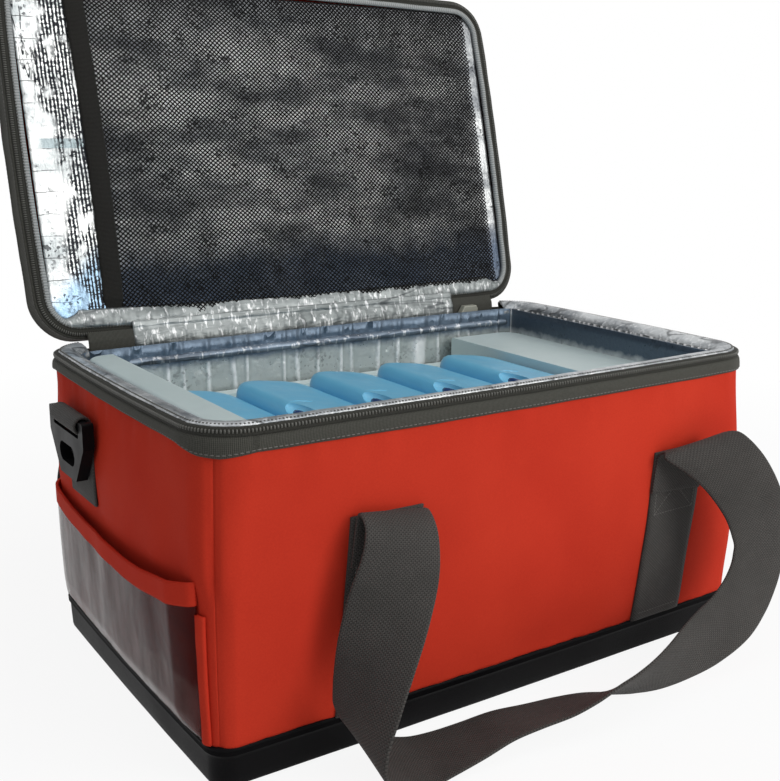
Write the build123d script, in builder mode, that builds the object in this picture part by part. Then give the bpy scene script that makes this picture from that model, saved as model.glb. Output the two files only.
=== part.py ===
"""Insulated blood transport bag: a soft box of coated cloth over foam, with a lid
that is hinged at the rear, two webbing handles, two shoulder-strap rings, and a
white insert that holds five ice packs.

Frame: X along the bag, Y from front to rear, Z up, origin at the middle of the
underside. Lengths are in millimetres and angles in degrees.
"""

from build123d import *
from math import cos, radians, sin
import os

# Body
body_width = 460.0
body_depth = 288.0
boot_height = 28.0
panel_top = 213.0
rim_top = 226.4
base_radius, waist_radius, rim_radius = 14.0, 20.0, 34.0
base_bow, waist_bow, rim_bow = 1.0, 5.0, 4.0
waist_height = 110.0
base_draw_in = 3.0
cloth = 2.0
wall = 17.0
floor_top = 18.0
foil = 0.4
rear_hem_top = 210.5
rear_wall_front = 118.0

# Lid, measured in its own plane from the hinge line
hinge_y = 143.5
hinge_z = 227.0
lid_lean = 14.4
lid_width = 464.0
lid_start = 3.4
lid_reach = 290.0
lid_thickness = 25.0
lid_radius = 32.0
lid_bow = 3.0
net_left, net_right = -165.0, 218.0
net_low, net_high = 14.0, 280.0
net_columns, net_rows = 20, 14
net_cord = 4.0

# Webbing
webbing = 51.6
webbing_thickness = 2.4
strap_top = 158.0
strap_feet = {"left": -147.0, "right": 112.6}
strap_lean = 9.0

# Clear pocket on the left end
pocket_front, pocket_rear = -118.0, 134.0
pocket_top = 114.0
pocket_gap = 9.0
pocket_sheet = 0.8
binding_height = 13.0

# Shoulder-strap rings
ring_y, ring_z = 49.5, 192.0
ring_out = 13.6
ring_bar = 3.9
ring_thickness = 8.0
ring_drop = 41.0
tab_foot = 134.0

# White insert and its tray
insert_width, insert_depth = 418.0, 246.0
insert_floor, insert_top = 19.0, 200.0
insert_left_top = 219.0
bay_left, bay_right = -184.5, 139.0
bay_front, bay_rear = -117.0, 111.0
ledge_height, ledge = 150.0, 10.0
insert_rear_top = 178.0

# Ice packs
pack_count = 5
pack_pitch = 63.8
pack_first = -180.5
pack_top = 202.0
pack_tilt = 7.5
pack_width = 62.8
pack_thickness = 24.0
pack_front, pack_rear = -116.0, 68.0
notch_front, notch_rear = -61.0, -22.0
notch_radius = 9.0

SIDES = ("front", "rear", "left", "right")
BIG = 1000.0


def outline(width, depth, radius, bow):
    """A rounded rectangle whose four sides bow gently outwards."""
    half_w, half_d = width / 2, depth / 2
    with BuildSketch() as plan:
        with BuildLine():
            ThreePointArc((-half_w, -half_d), (0, -half_d - bow), (half_w, -half_d))
            ThreePointArc((half_w, -half_d), (half_w + bow, 0), (half_w, half_d))
            ThreePointArc((half_w, half_d), (0, half_d + bow), (-half_w, half_d))
            ThreePointArc((-half_w, half_d), (-half_w - bow, 0), (-half_w, -half_d))
        make_face()
        fillet(plan.vertices(), radius)
    return plan.sketch


def body_form(grow):
    """The full outer form of the body from the ground to the rim, grown evenly."""
    levels = (
        (0.0, -base_draw_in, base_radius, base_bow),
        (waist_height, 0.0, waist_radius, waist_bow),
        (rim_top, 0.0, rim_radius, rim_bow),
    )
    with BuildPart() as form:
        for height, draw, radius, bow in levels:
            inset = 2 * (grow + draw)
            with BuildSketch(Plane.XY.offset(height)):
                add(outline(body_width + inset, body_depth + inset, radius + grow, bow))
        loft()
    return form.part


def slab(low, high):
    """Everything between two heights."""
    with BuildPart() as layer:
        with BuildSketch(Plane.XY.offset(low)):
            Rectangle(BIG, BIG)
        extrude(amount=high - low)
    return layer.part


def side_region(side, low, high):
    """The part of a layer that belongs to one side, mitred at the corners."""
    x, y, reach = body_width / 2, body_depth / 2, 100.0
    out = 60.0
    corners = {
        "front": ((-x - out, -y - out), (x + out, -y - out), (x - reach, reach - y), (reach - x, reach - y)),
        "right": ((x + out, -y - out), (x + out, y + out), (x - reach, y - reach), (x - reach, reach - y)),
        "rear": ((x + out, y + out), (-x - out, y + out), (reach - x, y - reach), (x - reach, y - reach)),
        "left": ((-x - out, y + out), (-x - out, -y - out), (reach - x, reach - y), (reach - x, y - reach)),
    }
    with BuildPart() as region:
        with BuildSketch(Plane.XY.offset(low)):
            with BuildLine():
                Polyline(*corners[side], close=True)
            make_face()
        extrude(amount=high - low)
    return region.part


def cavity(low, high, grow=0.0):
    """The straight-sided space inside the foam walls."""
    inset = 2 * (grow - wall)
    with BuildPart() as space:
        with BuildSketch(Plane.XY.offset(low)):
            RectangleRounded(body_width + inset, body_depth + inset, rim_radius - wall + 3 + grow)
        extrude(amount=high - low)
    return space.part


def box(low, high):
    """A plain block between two corners."""
    with BuildPart() as block:
        with BuildSketch(Plane.XY.offset(low[2])):
            with Locations(((low[0] + high[0]) / 2, (low[1] + high[1]) / 2)):
                Rectangle(high[0] - low[0], high[1] - low[1])
        extrude(amount=high[2] - low[2])
    return block.part


def save(part, name):
    part.label = name
    export_step(part, f"parts/{name}.step")


os.makedirs("parts", exist_ok=True)

outer = body_form(0)
lining_face = body_form(-cloth)

# Boot and floor

with BuildPart() as base_boot:
    add(outer)
    add(slab(0, boot_height), mode=Mode.INTERSECT)
    with BuildPart(mode=Mode.PRIVATE) as boot_hollow:
        add(lining_face)
        add(slab(cloth + 0.5, BIG), mode=Mode.INTERSECT)
    add(boot_hollow.part, mode=Mode.SUBTRACT)
save(base_boot.part, "base_boot")

board_low, board_high = cloth + 0.5, 5.5

with BuildPart() as base_board:
    add(lining_face)
    add(slab(board_low, board_high), mode=Mode.INTERSECT)
save(base_board.part, "base_board")

with BuildPart() as base_foam:
    add(lining_face)
    add(slab(board_high, floor_top), mode=Mode.INTERSECT)
save(base_foam.part, "base_foam")

# Outer panels and the foam behind them

hem_bottom = {"front": 222.0, "left": 222.0, "right": 222.0, "rear": 208.0}

for side in SIDES:
    with BuildPart() as panel:
        add(outer)
        add(lining_face, mode=Mode.SUBTRACT)
        add(side_region(side, boot_height, panel_top), mode=Mode.INTERSECT)
    save(panel.part, f"{side}_panel")

    with BuildPart() as side_foam:
        add(lining_face)
        add(cavity(0, BIG), mode=Mode.SUBTRACT)
        add(side_region(side, floor_top, hem_bottom[side]), mode=Mode.INTERSECT)
    save(side_foam.part, f"{side}_foam")

# Foil liner: a tub with its rear wall cut down to the rear hem

with BuildPart() as foil_liner:
    add(cavity(floor_top, 224.6))
    add(cavity(floor_top + foil, BIG, -foil), mode=Mode.SUBTRACT)
    add(
        box((-BIG, rear_wall_front, rear_hem_top), (BIG, BIG, BIG)),
        mode=Mode.SUBTRACT,
    )
save(foil_liner.part, "foil_liner")

# Rim: a hem on the foam, a binding outside it, and the zip's tape and coil

with BuildPart() as rim_hem:
    add(lining_face)
    add(cavity(0, BIG), mode=Mode.SUBTRACT)
    with BuildPart(mode=Mode.PRIVATE) as hem_space:
        for side in SIDES:
            top = rear_hem_top if side == "rear" else 224.6
            add(side_region(side, hem_bottom[side], top))
    add(hem_space.part, mode=Mode.INTERSECT)
save(rim_hem.part, "rim_hem")

with BuildPart() as rim_binding:
    add(outer)
    add(lining_face, mode=Mode.SUBTRACT)
    add(slab(panel_top, 224.6), mode=Mode.INTERSECT)
save(rim_binding.part, "rim_binding")

tape_top = 225.2
rear_cut = box((-BIG, 110.0, 200.0), (BIG, BIG, BIG))

with BuildPart() as body_zip_tape:
    add(outer)
    add(body_form(-7), mode=Mode.SUBTRACT)
    add(slab(224.6, tape_top), mode=Mode.INTERSECT)
    add(rear_cut, mode=Mode.SUBTRACT)
save(body_zip_tape.part, "body_zip_tape")

with BuildPart() as body_zip_coil:
    add(body_form(-0.8))
    add(body_form(-3.8), mode=Mode.SUBTRACT)
    add(slab(tape_top, rim_top), mode=Mode.INTERSECT)
    add(rear_cut, mode=Mode.SUBTRACT)
save(body_zip_coil.part, "body_zip_coil")

# Hinge strip at the rear, with a dark tab at each end

strip_face = 141.4
strip_thickness = 1.8
strip_left, strip_right = -161.0, 153.0
tabs = ((-196.0, strip_left), (strip_right, 200.0))


def hinge_cloth(left, right):
    return box((left, strip_face - strip_thickness, rear_hem_top), (right, strip_face, rim_top))


with BuildPart() as hinge_strip:
    add(hinge_cloth(strip_left, strip_right))
save(hinge_strip.part, "hinge_strip")

with BuildPart() as hinge_end_tabs:
    for tab_left, tab_right in tabs:
        add(hinge_cloth(tab_left, tab_right))
save(hinge_end_tabs.part, "hinge_end_tabs")

# Zip slider, parked on the right tab

slider_left, slider_length = 158.0, 20.0
slider_low, slider_high = 213.5, 226.0
slider_front = 133.5

with BuildPart() as zip_slider:
    with BuildSketch(Plane.XZ.offset(-strip_face + strip_thickness + 0.4)):
        with BuildLine():
            middle = (slider_low + slider_high) / 2
            nose = slider_left + slider_length
            Polyline(
                (slider_left, middle),
                (slider_left + 4, slider_high),
                (nose - 2, slider_high),
                (nose, slider_high - 3),
                (nose - 1, slider_low),
                (slider_left + 4, slider_low),
                close=True,
            )
        make_face()
    extrude(amount=strip_face - strip_thickness - 0.4 - slider_front)
    fillet(zip_slider.edges().filter_by(Axis.Y), 1.0)
    fillet(zip_slider.faces().sort_by(Axis.Y)[0].edges(), 1.2)
save(zip_slider.part, "zip_slider")

# Clear pocket on the left end: a sheet that stands off the panel on three sides

pocket_space = box((-BIG, pocket_front, boot_height + 1), (0, pocket_rear, pocket_top))
pocket_inside = box(
    (-BIG, pocket_front + 1.5, boot_height + 2.5),
    (0, pocket_rear - 1.5, BIG),
)

with BuildPart() as pocket_window:
    add(body_form(pocket_gap + pocket_sheet))
    add(outer, mode=Mode.SUBTRACT)
    add(pocket_space, mode=Mode.INTERSECT)
    with BuildPart(mode=Mode.PRIVATE) as pocket_hollow:
        add(body_form(pocket_gap))
        add(pocket_inside, mode=Mode.INTERSECT)
    add(pocket_hollow.part, mode=Mode.SUBTRACT)
save(pocket_window.part, "pocket_window")

with BuildPart() as pocket_top_binding:
    add(body_form(pocket_gap + 2 * pocket_sheet))
    add(body_form(pocket_gap + pocket_sheet), mode=Mode.SUBTRACT)
    add(
        box((-BIG, pocket_front, pocket_top - binding_height), (0, pocket_rear, pocket_top)),
        mode=Mode.INTERSECT,
    )
save(pocket_top_binding.part, "pocket_top_binding")

binding_width = 9.0

with BuildPart() as pocket_side_bindings:
    add(body_form(pocket_sheet))
    add(outer, mode=Mode.SUBTRACT)
    with BuildPart(mode=Mode.PRIVATE) as binding_places:
        add(box((-BIG, pocket_front - binding_width, boot_height + 1), (0, pocket_front, pocket_top)))
        add(box((-BIG, pocket_rear, boot_height + 1), (0, pocket_rear + binding_width, pocket_top)))
    add(binding_places.part, mode=Mode.INTERSECT)
save(pocket_side_bindings.part, "pocket_side_bindings")

# Sewn straps, two in front and, turned half round, two behind


def sewn_strap(foot, facing):
    """Webbing sewn flat on a panel, leaning slightly; facing is 1 in front, -1 behind."""
    lean = strap_lean
    with BuildPart() as strap:
        add(body_form(webbing_thickness))
        add(outer, mode=Mode.SUBTRACT)
        with BuildPart(mode=Mode.PRIVATE) as strap_space:
            with BuildSketch(Plane.XZ):
                with BuildLine():
                    Polyline(
                        (facing * foot, boot_height),
                        (facing * (foot + webbing), boot_height),
                        (facing * (foot + webbing + lean), strap_top),
                        (facing * (foot + lean), strap_top),
                        close=True,
                    )
                make_face()
            extrude(amount=facing * body_depth)
        add(strap_space.part, mode=Mode.INTERSECT)
    return strap.part


for face, facing in (("front", 1), ("rear", -1)):
    for place, foot in strap_feet.items():
        side = place if facing == 1 else {"left": "right", "right": "left"}[place]
        save(sewn_strap(foot, facing), f"{face}_{side}_strap")

# Carrying handles: one long loop of webbing each, fallen to the ground.
# Each station is the middle of the webbing and the way its width points.

handle_route = (
    ((-110, -154, 163), (1, 0, -0.15)),
    ((-112, -165, 152), (1, -0.05, -0.15)),
    ((-117, -171, 134), (0.97, -0.22, -0.1)),
    ((-130, -177, 106), (0.82, -0.56, 0)),
    ((-141, -181, 80), (0.6, -0.8, 0.08)),
    ((-149, -184, 57), (0.35, -0.93, 0.1)),
    ((-152, -183.5, 39), (0.1, -0.98, -0.1)),
    ((-148, -183, 23.5), (-0.09, -0.975, -0.2)),
    ((-137, -182.4, 14.5), (-0.16, -0.97, -0.15)),
    ((-124.5, -182.3, 8.2), (-0.2, -0.97, -0.12)),
    ((-108, -182.4, 3.4), (-0.3, -0.95, -0.04)),
    ((-92, -182.4, 3), (-0.38, -0.925, 0.03)),
    ((-68, -183, 5), (-0.4, -0.905, 0.1)),
    ((-43.3, -184.1, 8.2), (-0.43, -0.888, 0.173)),
    ((-20, -188, 10), (-0.455, -0.86, 0.24)),
    ((3, -192.7, 12.1), (-0.46, -0.84, 0.29)),
    ((22, -196.8, 14.7), (-0.48, -0.78, 0.39)),
    ((41, -201.5, 17.1), (-0.517, -0.654, 0.552)),
    ((57.5, -205.6, 19.2), (-0.53, -0.53, 0.66)),
    ((76, -208.5, 22.5), (-0.56, -0.38, 0.735)),
    ((98, -209.4, 27.8), (-0.632, -0.2, 0.745)),
    ((123, -208.4, 35), (-0.71, 0, 0.71)),
    ((147.5, -207, 44.5), (-0.82, 0.1, 0.57)),
    ((165, -204.8, 56), (-0.875, 0.115, 0.475)),
    ((177, -202.5, 69), (-0.92, 0.115, 0.37)),
    ((183.5, -200.6, 82), (-0.955, 0.125, 0.25)),
    ((186, -199, 96), (-0.98, 0.15, 0.12)),
    ((181, -195, 120), (-0.97, 0.22, -0.12)),
    ((170, -187, 143), (-0.92, 0.3, -0.28)),
    ((157, -176, 160), (-0.9, 0.28, -0.36)),
    ((149, -164, 166), (-0.95, 0.15, -0.2)),
    ((146.5, -154, 161), (-1, 0, -0.05)),
)
ground_gap = 0.6


def handle(facing):
    """The webbing loop as one strip through the stations, held just off the ground."""
    middles = [Vector(facing * x, facing * y, z) for (x, y, z), _ in handle_route]
    widths = [Vector(facing * x, facing * y, z).normalized() for _, (x, y, z) in handle_route]
    with BuildPart() as loop:
        for i, (middle, width) in enumerate(zip(middles, widths)):
            travel = (middles[min(i + 1, len(middles) - 1)] - middles[max(i - 1, 0)]).normalized()
            forward = (travel - width * travel.dot(width)).normalized()
            slant = max(travel.dot(forward), 0.8)
            reach = webbing / 2 / slant * abs(width.Z) + webbing_thickness / 2 + ground_gap
            centre = Vector(middle.X, middle.Y, max(middle.Z, reach))
            with BuildSketch(Plane(origin=centre, x_dir=width, z_dir=forward)):
                Rectangle(webbing / slant, webbing_thickness)
        loft(ruled=True)
    return loop.part


for face, facing in (("front", 1), ("rear", -1)):
    save(handle(facing), f"{face}_handle")

# Shoulder-strap rings: a webbing tab rolled round the bar of a moulded ring

ring_gap = 0.9
tab_low, tab_high = ring_y - webbing / 2, ring_y + webbing / 2
arm = 9.0
bar_low, bar_high = tab_low - 0.9 - arm, tab_high + 0.9 + arm
ring_x = body_width / 2 + ring_out
roll_inner, roll_outer = ring_bar + 0.5, ring_bar + 0.5 + 2.2


def ring_tab(sign):
    """The tab on one end; sign is -1 on the left and 1 on the right."""
    with BuildPart() as tab:
        add(body_form(3.2))
        add(outer, mode=Mode.SUBTRACT)
        if sign < 0:
            add(box((-BIG, tab_low, tab_foot), (0, tab_high, ring_z - 2)), mode=Mode.INTERSECT)
        else:
            add(box((0, tab_low, tab_foot), (BIG, tab_high, ring_z - 2)), mode=Mode.INTERSECT)
        with BuildSketch(Plane.XZ.offset(-tab_high)):
            with Locations((sign * ring_x, ring_z)):
                Circle(roll_outer)
            with Locations((sign * (ring_x - roll_outer / 2), ring_z - 5)):
                Rectangle(roll_outer, 5)
        extrude(amount=webbing)
        with BuildSketch(Plane.XZ.offset(-tab_high)):
            with Locations((sign * ring_x, ring_z)):
                Circle(roll_inner)
        extrude(amount=webbing, mode=Mode.SUBTRACT)
        add(outer, mode=Mode.SUBTRACT)
    return tab.part


def strap_ring(sign):
    """A flat moulded ring with a long slot, hanging from its own round bar."""
    inner = sign * (ring_x - ring_thickness / 2)
    shoulder = ring_z - roll_outer - 1.4
    foot = ring_z - ring_drop
    with BuildPart() as ring:
        with BuildSketch(Plane.YZ.offset(inner)) as plate:
            with BuildLine():
                Polyline(
                    (bar_low, ring_z + 4),
                    (bar_low + arm, ring_z + 4),
                    (bar_low + arm, shoulder),
                    (bar_high - arm, shoulder),
                    (bar_high - arm, ring_z + 4),
                    (bar_high, ring_z + 4),
                    (bar_high, shoulder - 6),
                    (bar_high - 19, foot),
                    (bar_low + 19, foot),
                    (bar_low, shoulder - 6),
                    close=True,
                )
            make_face()
            fillet(plate.vertices(), 2.0)
            with Locations((ring_y, (shoulder + foot) / 2)):
                SlotOverall(32, 14, mode=Mode.SUBTRACT)
        extrude(amount=sign * ring_thickness)
        with BuildSketch(Plane.XZ.offset(-bar_high + 2)):
            with Locations((sign * ring_x, ring_z)):
                Circle(ring_bar)
        extrude(amount=bar_high - bar_low - 4)
    return ring.part


for end, sign in (("left", -1), ("right", 1)):
    save(ring_tab(sign), f"{end}_ring_tab")
    save(strap_ring(sign), f"{end}_ring")

# Lid, in a plane whose Y runs from the hinge to the free edge and whose Z
# points to the lid's inner side

lid_plane = Plane(
    origin=(0, hinge_y, hinge_z),
    x_dir=(1, 0, 0),
    z_dir=(0, -cos(radians(lid_lean)), sin(radians(lid_lean))),
)
lid_middle = (lid_start + lid_reach) / 2
lid_height = lid_reach - lid_start
lid_floor = -lid_thickness
lid_skin = lid_floor + cloth
coil_height = 1.2
tape_height = 0.8
band_inner = -coil_height - tape_height


def lid_layer(low, high, inset=0.0):
    """A layer of the lid between two depths, drawn in evenly from its outline."""
    with BuildPart() as layer:
        with BuildSketch(lid_plane.offset(low)):
            with Locations((0, lid_middle)):
                add(outline(lid_width - 2 * inset, lid_height - 2 * inset, lid_radius - inset, lid_bow))
        extrude(amount=high - low)
    return layer.part


def lid_ring(low, high, outer_inset, inner_inset):
    """A closed band that runs round the lid."""
    with BuildPart() as band:
        add(lid_layer(low, high, outer_inset))
        add(lid_layer(low - 1, high + 1, inner_inset), mode=Mode.SUBTRACT)
    return band.part


lining_low = -3.4
lining_high = lining_low + foil
hem_high = -1.0
hem_outer, hem_inner = 9.0, 21.0

save(lid_layer(lid_floor, lid_skin), "lid_panel")
save(lid_ring(lid_skin, band_inner, 0, cloth), "lid_side_band")
save(lid_layer(lid_skin, lining_low, cloth), "lid_foam")
save(lid_layer(lining_low, lining_high, cloth), "lid_lining")
save(lid_ring(lining_high, hem_high, hem_outer, hem_inner), "lid_hem")
save(lid_ring(band_inner, -coil_height, 0, 8.0), "lid_zip_tape")
save(lid_ring(-coil_height, 0, 1.0, 4.0), "lid_zip_coil")

# Net pocket in the lid: its top, foot and right edges are caught under the hem

net_width, net_height = net_right - net_left, net_high - net_low
net_pitch_x = (net_width - net_cord) / net_columns
net_pitch_y = (net_height - net_cord) / net_rows
mesh_half_x, mesh_half_y = (net_pitch_x - net_cord) / 2, (net_pitch_y - net_cord) / 2
net_level, net_thickness = lining_high + 0.3, 0.8

with BuildPart() as lid_net:
    with BuildSketch(lid_plane.offset(net_level)):
        with Locations(((net_left + net_right) / 2, (net_low + net_high) / 2)):
            Rectangle(net_width, net_height)
            with GridLocations(net_pitch_x, net_pitch_y, net_columns, net_rows):
                Polygon(
                    (-mesh_half_x, 0),
                    (0, -mesh_half_y),
                    (mesh_half_x, 0),
                    (0, mesh_half_y),
                    mode=Mode.SUBTRACT,
                )
    extrude(amount=net_thickness)
    add(lid_ring(-BIG / 50, 0, 0, hem_inner + 0.2), mode=Mode.SUBTRACT)
save(lid_net.part, "lid_net")

tape_width = 14.0

with BuildPart() as net_binding:
    with BuildSketch(lid_plane.offset(net_level)):
        with Locations((net_left - tape_width / 2, lid_middle)):
            Rectangle(tape_width, lid_height - 2 * hem_inner - 3)
    extrude(amount=net_thickness + 0.4)
save(net_binding.part, "net_binding")

# White insert, with a deep bay and a ledge that carries the tray. Its left wall stands
# higher than the rest, beside the packs' raised edges.

with BuildPart() as inner_box:
    with BuildSketch(Plane.XY.offset(insert_floor)):
        RectangleRounded(insert_width, insert_depth, 16)
    extrude(amount=insert_left_top - insert_floor)
    add(
        box((bay_left, -BIG, insert_top), (BIG, BIG, BIG)),
        mode=Mode.SUBTRACT,
    )
    fillet(inner_box.faces().sort_by(Axis.Z)[-1].edges(), 3)
    level = inner_box.faces().filter_by(Axis.Z).group_by(Axis.Z)[-2]
    fillet(level.edges().filter_by(lambda e: e.center().X > bay_left + 1), 3)
    add(
        box((bay_left, bay_front, ledge_height), (bay_right, bay_rear, BIG)),
        mode=Mode.SUBTRACT,
    )
    add(
        box(
            (bay_left + ledge, bay_front + ledge, insert_floor + 10),
            (bay_right - ledge, bay_rear - ledge, BIG),
        ),
        mode=Mode.SUBTRACT,
    )
    add(
        box((bay_left, bay_rear - 1, insert_rear_top), (bay_right, BIG, BIG)),
        mode=Mode.SUBTRACT,
    )
save(inner_box.part, "inner_box")

# Ice packs, each tilted with its left edge up, and the stepped tray under them

tilt_x, tilt_z = cos(radians(pack_tilt)), -sin(radians(pack_tilt))
normal = (-tilt_z, 0, tilt_x)


def pack_corner(i):
    """The top left edge of a pack."""
    return pack_first + i * pack_pitch, pack_top


with BuildPart() as pack_tray:
    with BuildSketch(Plane.XZ.offset(-bay_rear + 0.5)):
        with BuildLine():
            gap = 0.4
            steps = []
            for i in range(pack_count):
                corner_x, corner_z = pack_corner(i)
                under_x = corner_x - normal[0] * (pack_thickness + 0.1)
                under_z = corner_z - normal[2] * (pack_thickness + 0.1)
                steps.append((under_x - 0.3, under_z))
                steps.append((under_x + pack_width * tilt_x + 0.3, under_z + pack_width * tilt_z))
            steps[0] = (bay_left + gap, steps[0][1])
            Polyline(
                (bay_right - gap, ledge_height),
                (bay_left + gap, ledge_height),
                *steps,
                (bay_right - gap, steps[-1][1]),
                close=True,
            )
        make_face()
    extrude(amount=bay_rear - bay_front - 1)
save(pack_tray.part, "pack_tray")

for i in range(pack_count):
    corner_x, corner_z = pack_corner(i)
    pack_plane = Plane(origin=(corner_x, 0, corner_z), x_dir=(tilt_x, 0, tilt_z), z_dir=normal)
    pack_length = pack_rear - pack_front
    with BuildPart() as ice_pack:
        with BuildSketch(pack_plane.offset(-pack_thickness)):
            with Locations((pack_width / 2, (pack_front + pack_rear) / 2)):
                RectangleRounded(pack_width, pack_length, 20)
        extrude(amount=pack_thickness)
        fillet(ice_pack.faces().sort_by(Axis.Z)[-1].edges(), 4)
        with BuildSketch(Plane.XZ.offset(-notch_rear)):
            with Locations((corner_x, corner_z)):
                Circle(notch_radius)
        extrude(amount=notch_rear - notch_front, mode=Mode.SUBTRACT)
    save(ice_pack.part, f"ice_pack_{i + 1}")

    with BuildPart() as cap:
        cap_plane = Plane.XZ.offset(-notch_front - 12)
        with BuildSketch(cap_plane):
            with Locations((corner_x + 4.2, corner_z - 4.0)):
                Circle(2.8)
        extrude(amount=12)
    save(cap.part, f"ice_pack_cap_{i + 1}")
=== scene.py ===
"""Looks of the insulated blood transport bag: cloth, webbing, foil, zip, net and packs.

Lengths are millimetres in the frame of the CAD part, and objects are made in metres.
Places on the body and the lid are given by u, which runs 0 to 8 round their outline from
the front's left end (the hinge side's end on the lid), a side and its corner in turn.
"""

import math

import bmesh
import bpy
import numpy as np
from mathutils import Matrix, Vector, noise


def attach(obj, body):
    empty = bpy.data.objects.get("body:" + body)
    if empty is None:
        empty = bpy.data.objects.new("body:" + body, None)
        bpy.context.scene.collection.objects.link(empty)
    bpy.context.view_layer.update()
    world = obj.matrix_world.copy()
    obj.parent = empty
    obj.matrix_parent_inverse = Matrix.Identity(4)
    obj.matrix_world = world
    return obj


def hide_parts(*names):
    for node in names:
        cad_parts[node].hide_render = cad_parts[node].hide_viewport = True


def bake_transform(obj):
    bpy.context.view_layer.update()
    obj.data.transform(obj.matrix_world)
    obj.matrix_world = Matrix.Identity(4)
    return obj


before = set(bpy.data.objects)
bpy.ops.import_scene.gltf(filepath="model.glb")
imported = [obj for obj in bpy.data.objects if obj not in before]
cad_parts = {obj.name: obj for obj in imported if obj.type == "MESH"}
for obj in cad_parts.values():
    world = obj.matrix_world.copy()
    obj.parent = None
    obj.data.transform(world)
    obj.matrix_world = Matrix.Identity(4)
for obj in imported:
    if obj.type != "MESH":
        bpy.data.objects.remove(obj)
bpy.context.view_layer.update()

MM = 0.001

# Camera, as solved from the photograph

CAMERA_AT = (-0.466915, -0.681969, 0.38876)
CAMERA_TURN, CAMERA_TILT, CAMERA_ROLL = (math.radians(a) for a in (-33.7306, 13.4271, 0.51465))
FOCAL_PIXELS, LONG_SIDE, SENSOR = 1096.99, 781, 36.0


def make_camera():
    back = Vector((
        math.sin(CAMERA_TURN) * math.cos(CAMERA_TILT),
        -math.cos(CAMERA_TURN) * math.cos(CAMERA_TILT),
        math.sin(CAMERA_TILT),
    ))
    right = (-back).cross(Vector((0, 0, 1))).normalized()
    up = right.cross(-back)
    c, s = math.cos(CAMERA_ROLL), math.sin(CAMERA_ROLL)
    axes = Matrix((c * right + s * up, c * up - s * right, back)).transposed()
    data = bpy.data.cameras.new("camera")
    data.sensor_width = SENSOR
    data.lens = FOCAL_PIXELS / LONG_SIDE * SENSOR
    camera = bpy.data.objects.new("camera", data)
    camera.matrix_world = Matrix.Translation(CAMERA_AT) @ axes.to_4x4()
    bpy.context.scene.collection.objects.link(camera)
    bpy.context.scene.camera = camera


make_camera()
bpy.context.scene.view_settings.view_transform = "Standard"


# Materials


class Graph:
    """A material's node tree with short calls for what is used here."""

    def __init__(self, name):
        self.mat = bpy.data.materials.new(name)
        self.mat.use_nodes = True
        self.tree = self.mat.node_tree
        self.bsdf = self.tree.nodes["Principled BSDF"]
        self.place = self.tree.nodes.new("ShaderNodeTexCoord").outputs["Object"]

    def add(self, kind, inputs=None, **props):
        node = self.tree.nodes.new("ShaderNode" + kind)
        for key, value in props.items():
            setattr(node, key, value)
        for key, value in (inputs or {}).items():
            self.put(node.inputs[key], value)
        return node

    def put(self, socket, value):
        if isinstance(value, bpy.types.NodeSocket):
            self.tree.links.new(value, socket)
        else:
            socket.default_value = value

    def uv(self):
        return self.add("UVMap", uv_map="cloth").outputs["UV"]

    def stretch(self, scale, vector=None, turn=(0, 0, 0)):
        inputs = {"Vector": vector or self.place, "Scale": scale, "Rotation": turn}
        return self.add("Mapping", inputs).outputs["Vector"]

    def noise(self, scale, detail=3.0, rough=0.5, vector=None, warp=0.0):
        inputs = {"Vector": vector or self.place, "Scale": scale, "Detail": detail}
        inputs.update({"Roughness": rough, "Distortion": warp})
        return self.add("TexNoise", inputs).outputs["Fac"]

    def cells(self, scale, vector=None, **props):
        return self.add("TexVoronoi", {"Vector": vector or self.place, "Scale": scale}, **props).outputs

    def tone(self, color, channel=0):
        """One channel of a colour: a value of its own for each cell."""
        return self.split(color)[channel]

    def math(self, operation, a, b=0.5):
        return self.add("Math", {0: a, 1: b}, operation=operation).outputs[0]

    def chain(self, operation, values):
        total = values[0]
        for value in values[1:]:
            total = self.math(operation, total, value)
        return total

    def sum(self, *values):
        return self.chain("ADD", values)

    def times(self, *values):
        return self.chain("MULTIPLY", values)

    def most(self, *values):
        return self.chain("MAXIMUM", values)

    def centred(self, value, amount):
        """A noise about 0, where its usual middle is a half."""
        return self.times(self.math("SUBTRACT", value, 0.5), amount)

    def away(self, value, level):
        """How far a value is from a level, on either side."""
        return self.math("ABSOLUTE", self.math("SUBTRACT", value, level))

    def sine(self, value, pitch):
        return self.math("SINE", self.times(value, 2 * math.pi / pitch))

    def split(self, vector):
        return self.add("SeparateXYZ", {"Vector": vector}).outputs

    def ramp(self, value, low, high, to_low=0.0, to_high=1.0):
        inputs = {"Value": value, "From Min": low, "From Max": high, "To Min": to_low, "To Max": to_high}
        return self.add("MapRange", inputs).outputs["Result"]

    def mix(self, amount, a, b):
        node = self.add("Mix", data_type="RGBA")
        self.put(node.inputs[0], amount)
        for socket, color in ((node.inputs[6], a), (node.inputs[7], b)):
            self.put(socket, (*color, 1) if isinstance(color, tuple) else color)
        return node.outputs[2]

    def bump(self, height, distance, strength=1.0, under=None):
        inputs = {"Height": height, "Distance": distance * MM, "Strength": strength}
        if under:
            inputs["Normal"] = under
        return self.add("Bump", inputs).outputs["Normal"]

    def weave(self, pitch_a, pitch_b, vector):
        """Crossing threads: a product of two sines, pitches in the vector's units."""
        parts = self.split(vector)
        return self.times(self.sine(parts[0], pitch_a), self.sine(parts[1], pitch_b))

    def set(self, **values):
        names = {
            "color": "Base Color", "rough": "Roughness", "metal": "Metallic", "normal": "Normal",
            "alpha": "Alpha", "sheen": "Sheen Weight", "coat": "Coat Weight",
            "coat_rough": "Coat Roughness", "subsurface": "Subsurface Weight",
            "radius": "Subsurface Radius", "spread": "Subsurface Scale", "specular": "Specular IOR Level",
        }
        for key, value in values.items():
            if key == "color" and isinstance(value, tuple):
                value = (*value, 1)
            self.put(self.bsdf.inputs[names[key]], value)
        return self.mat


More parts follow.
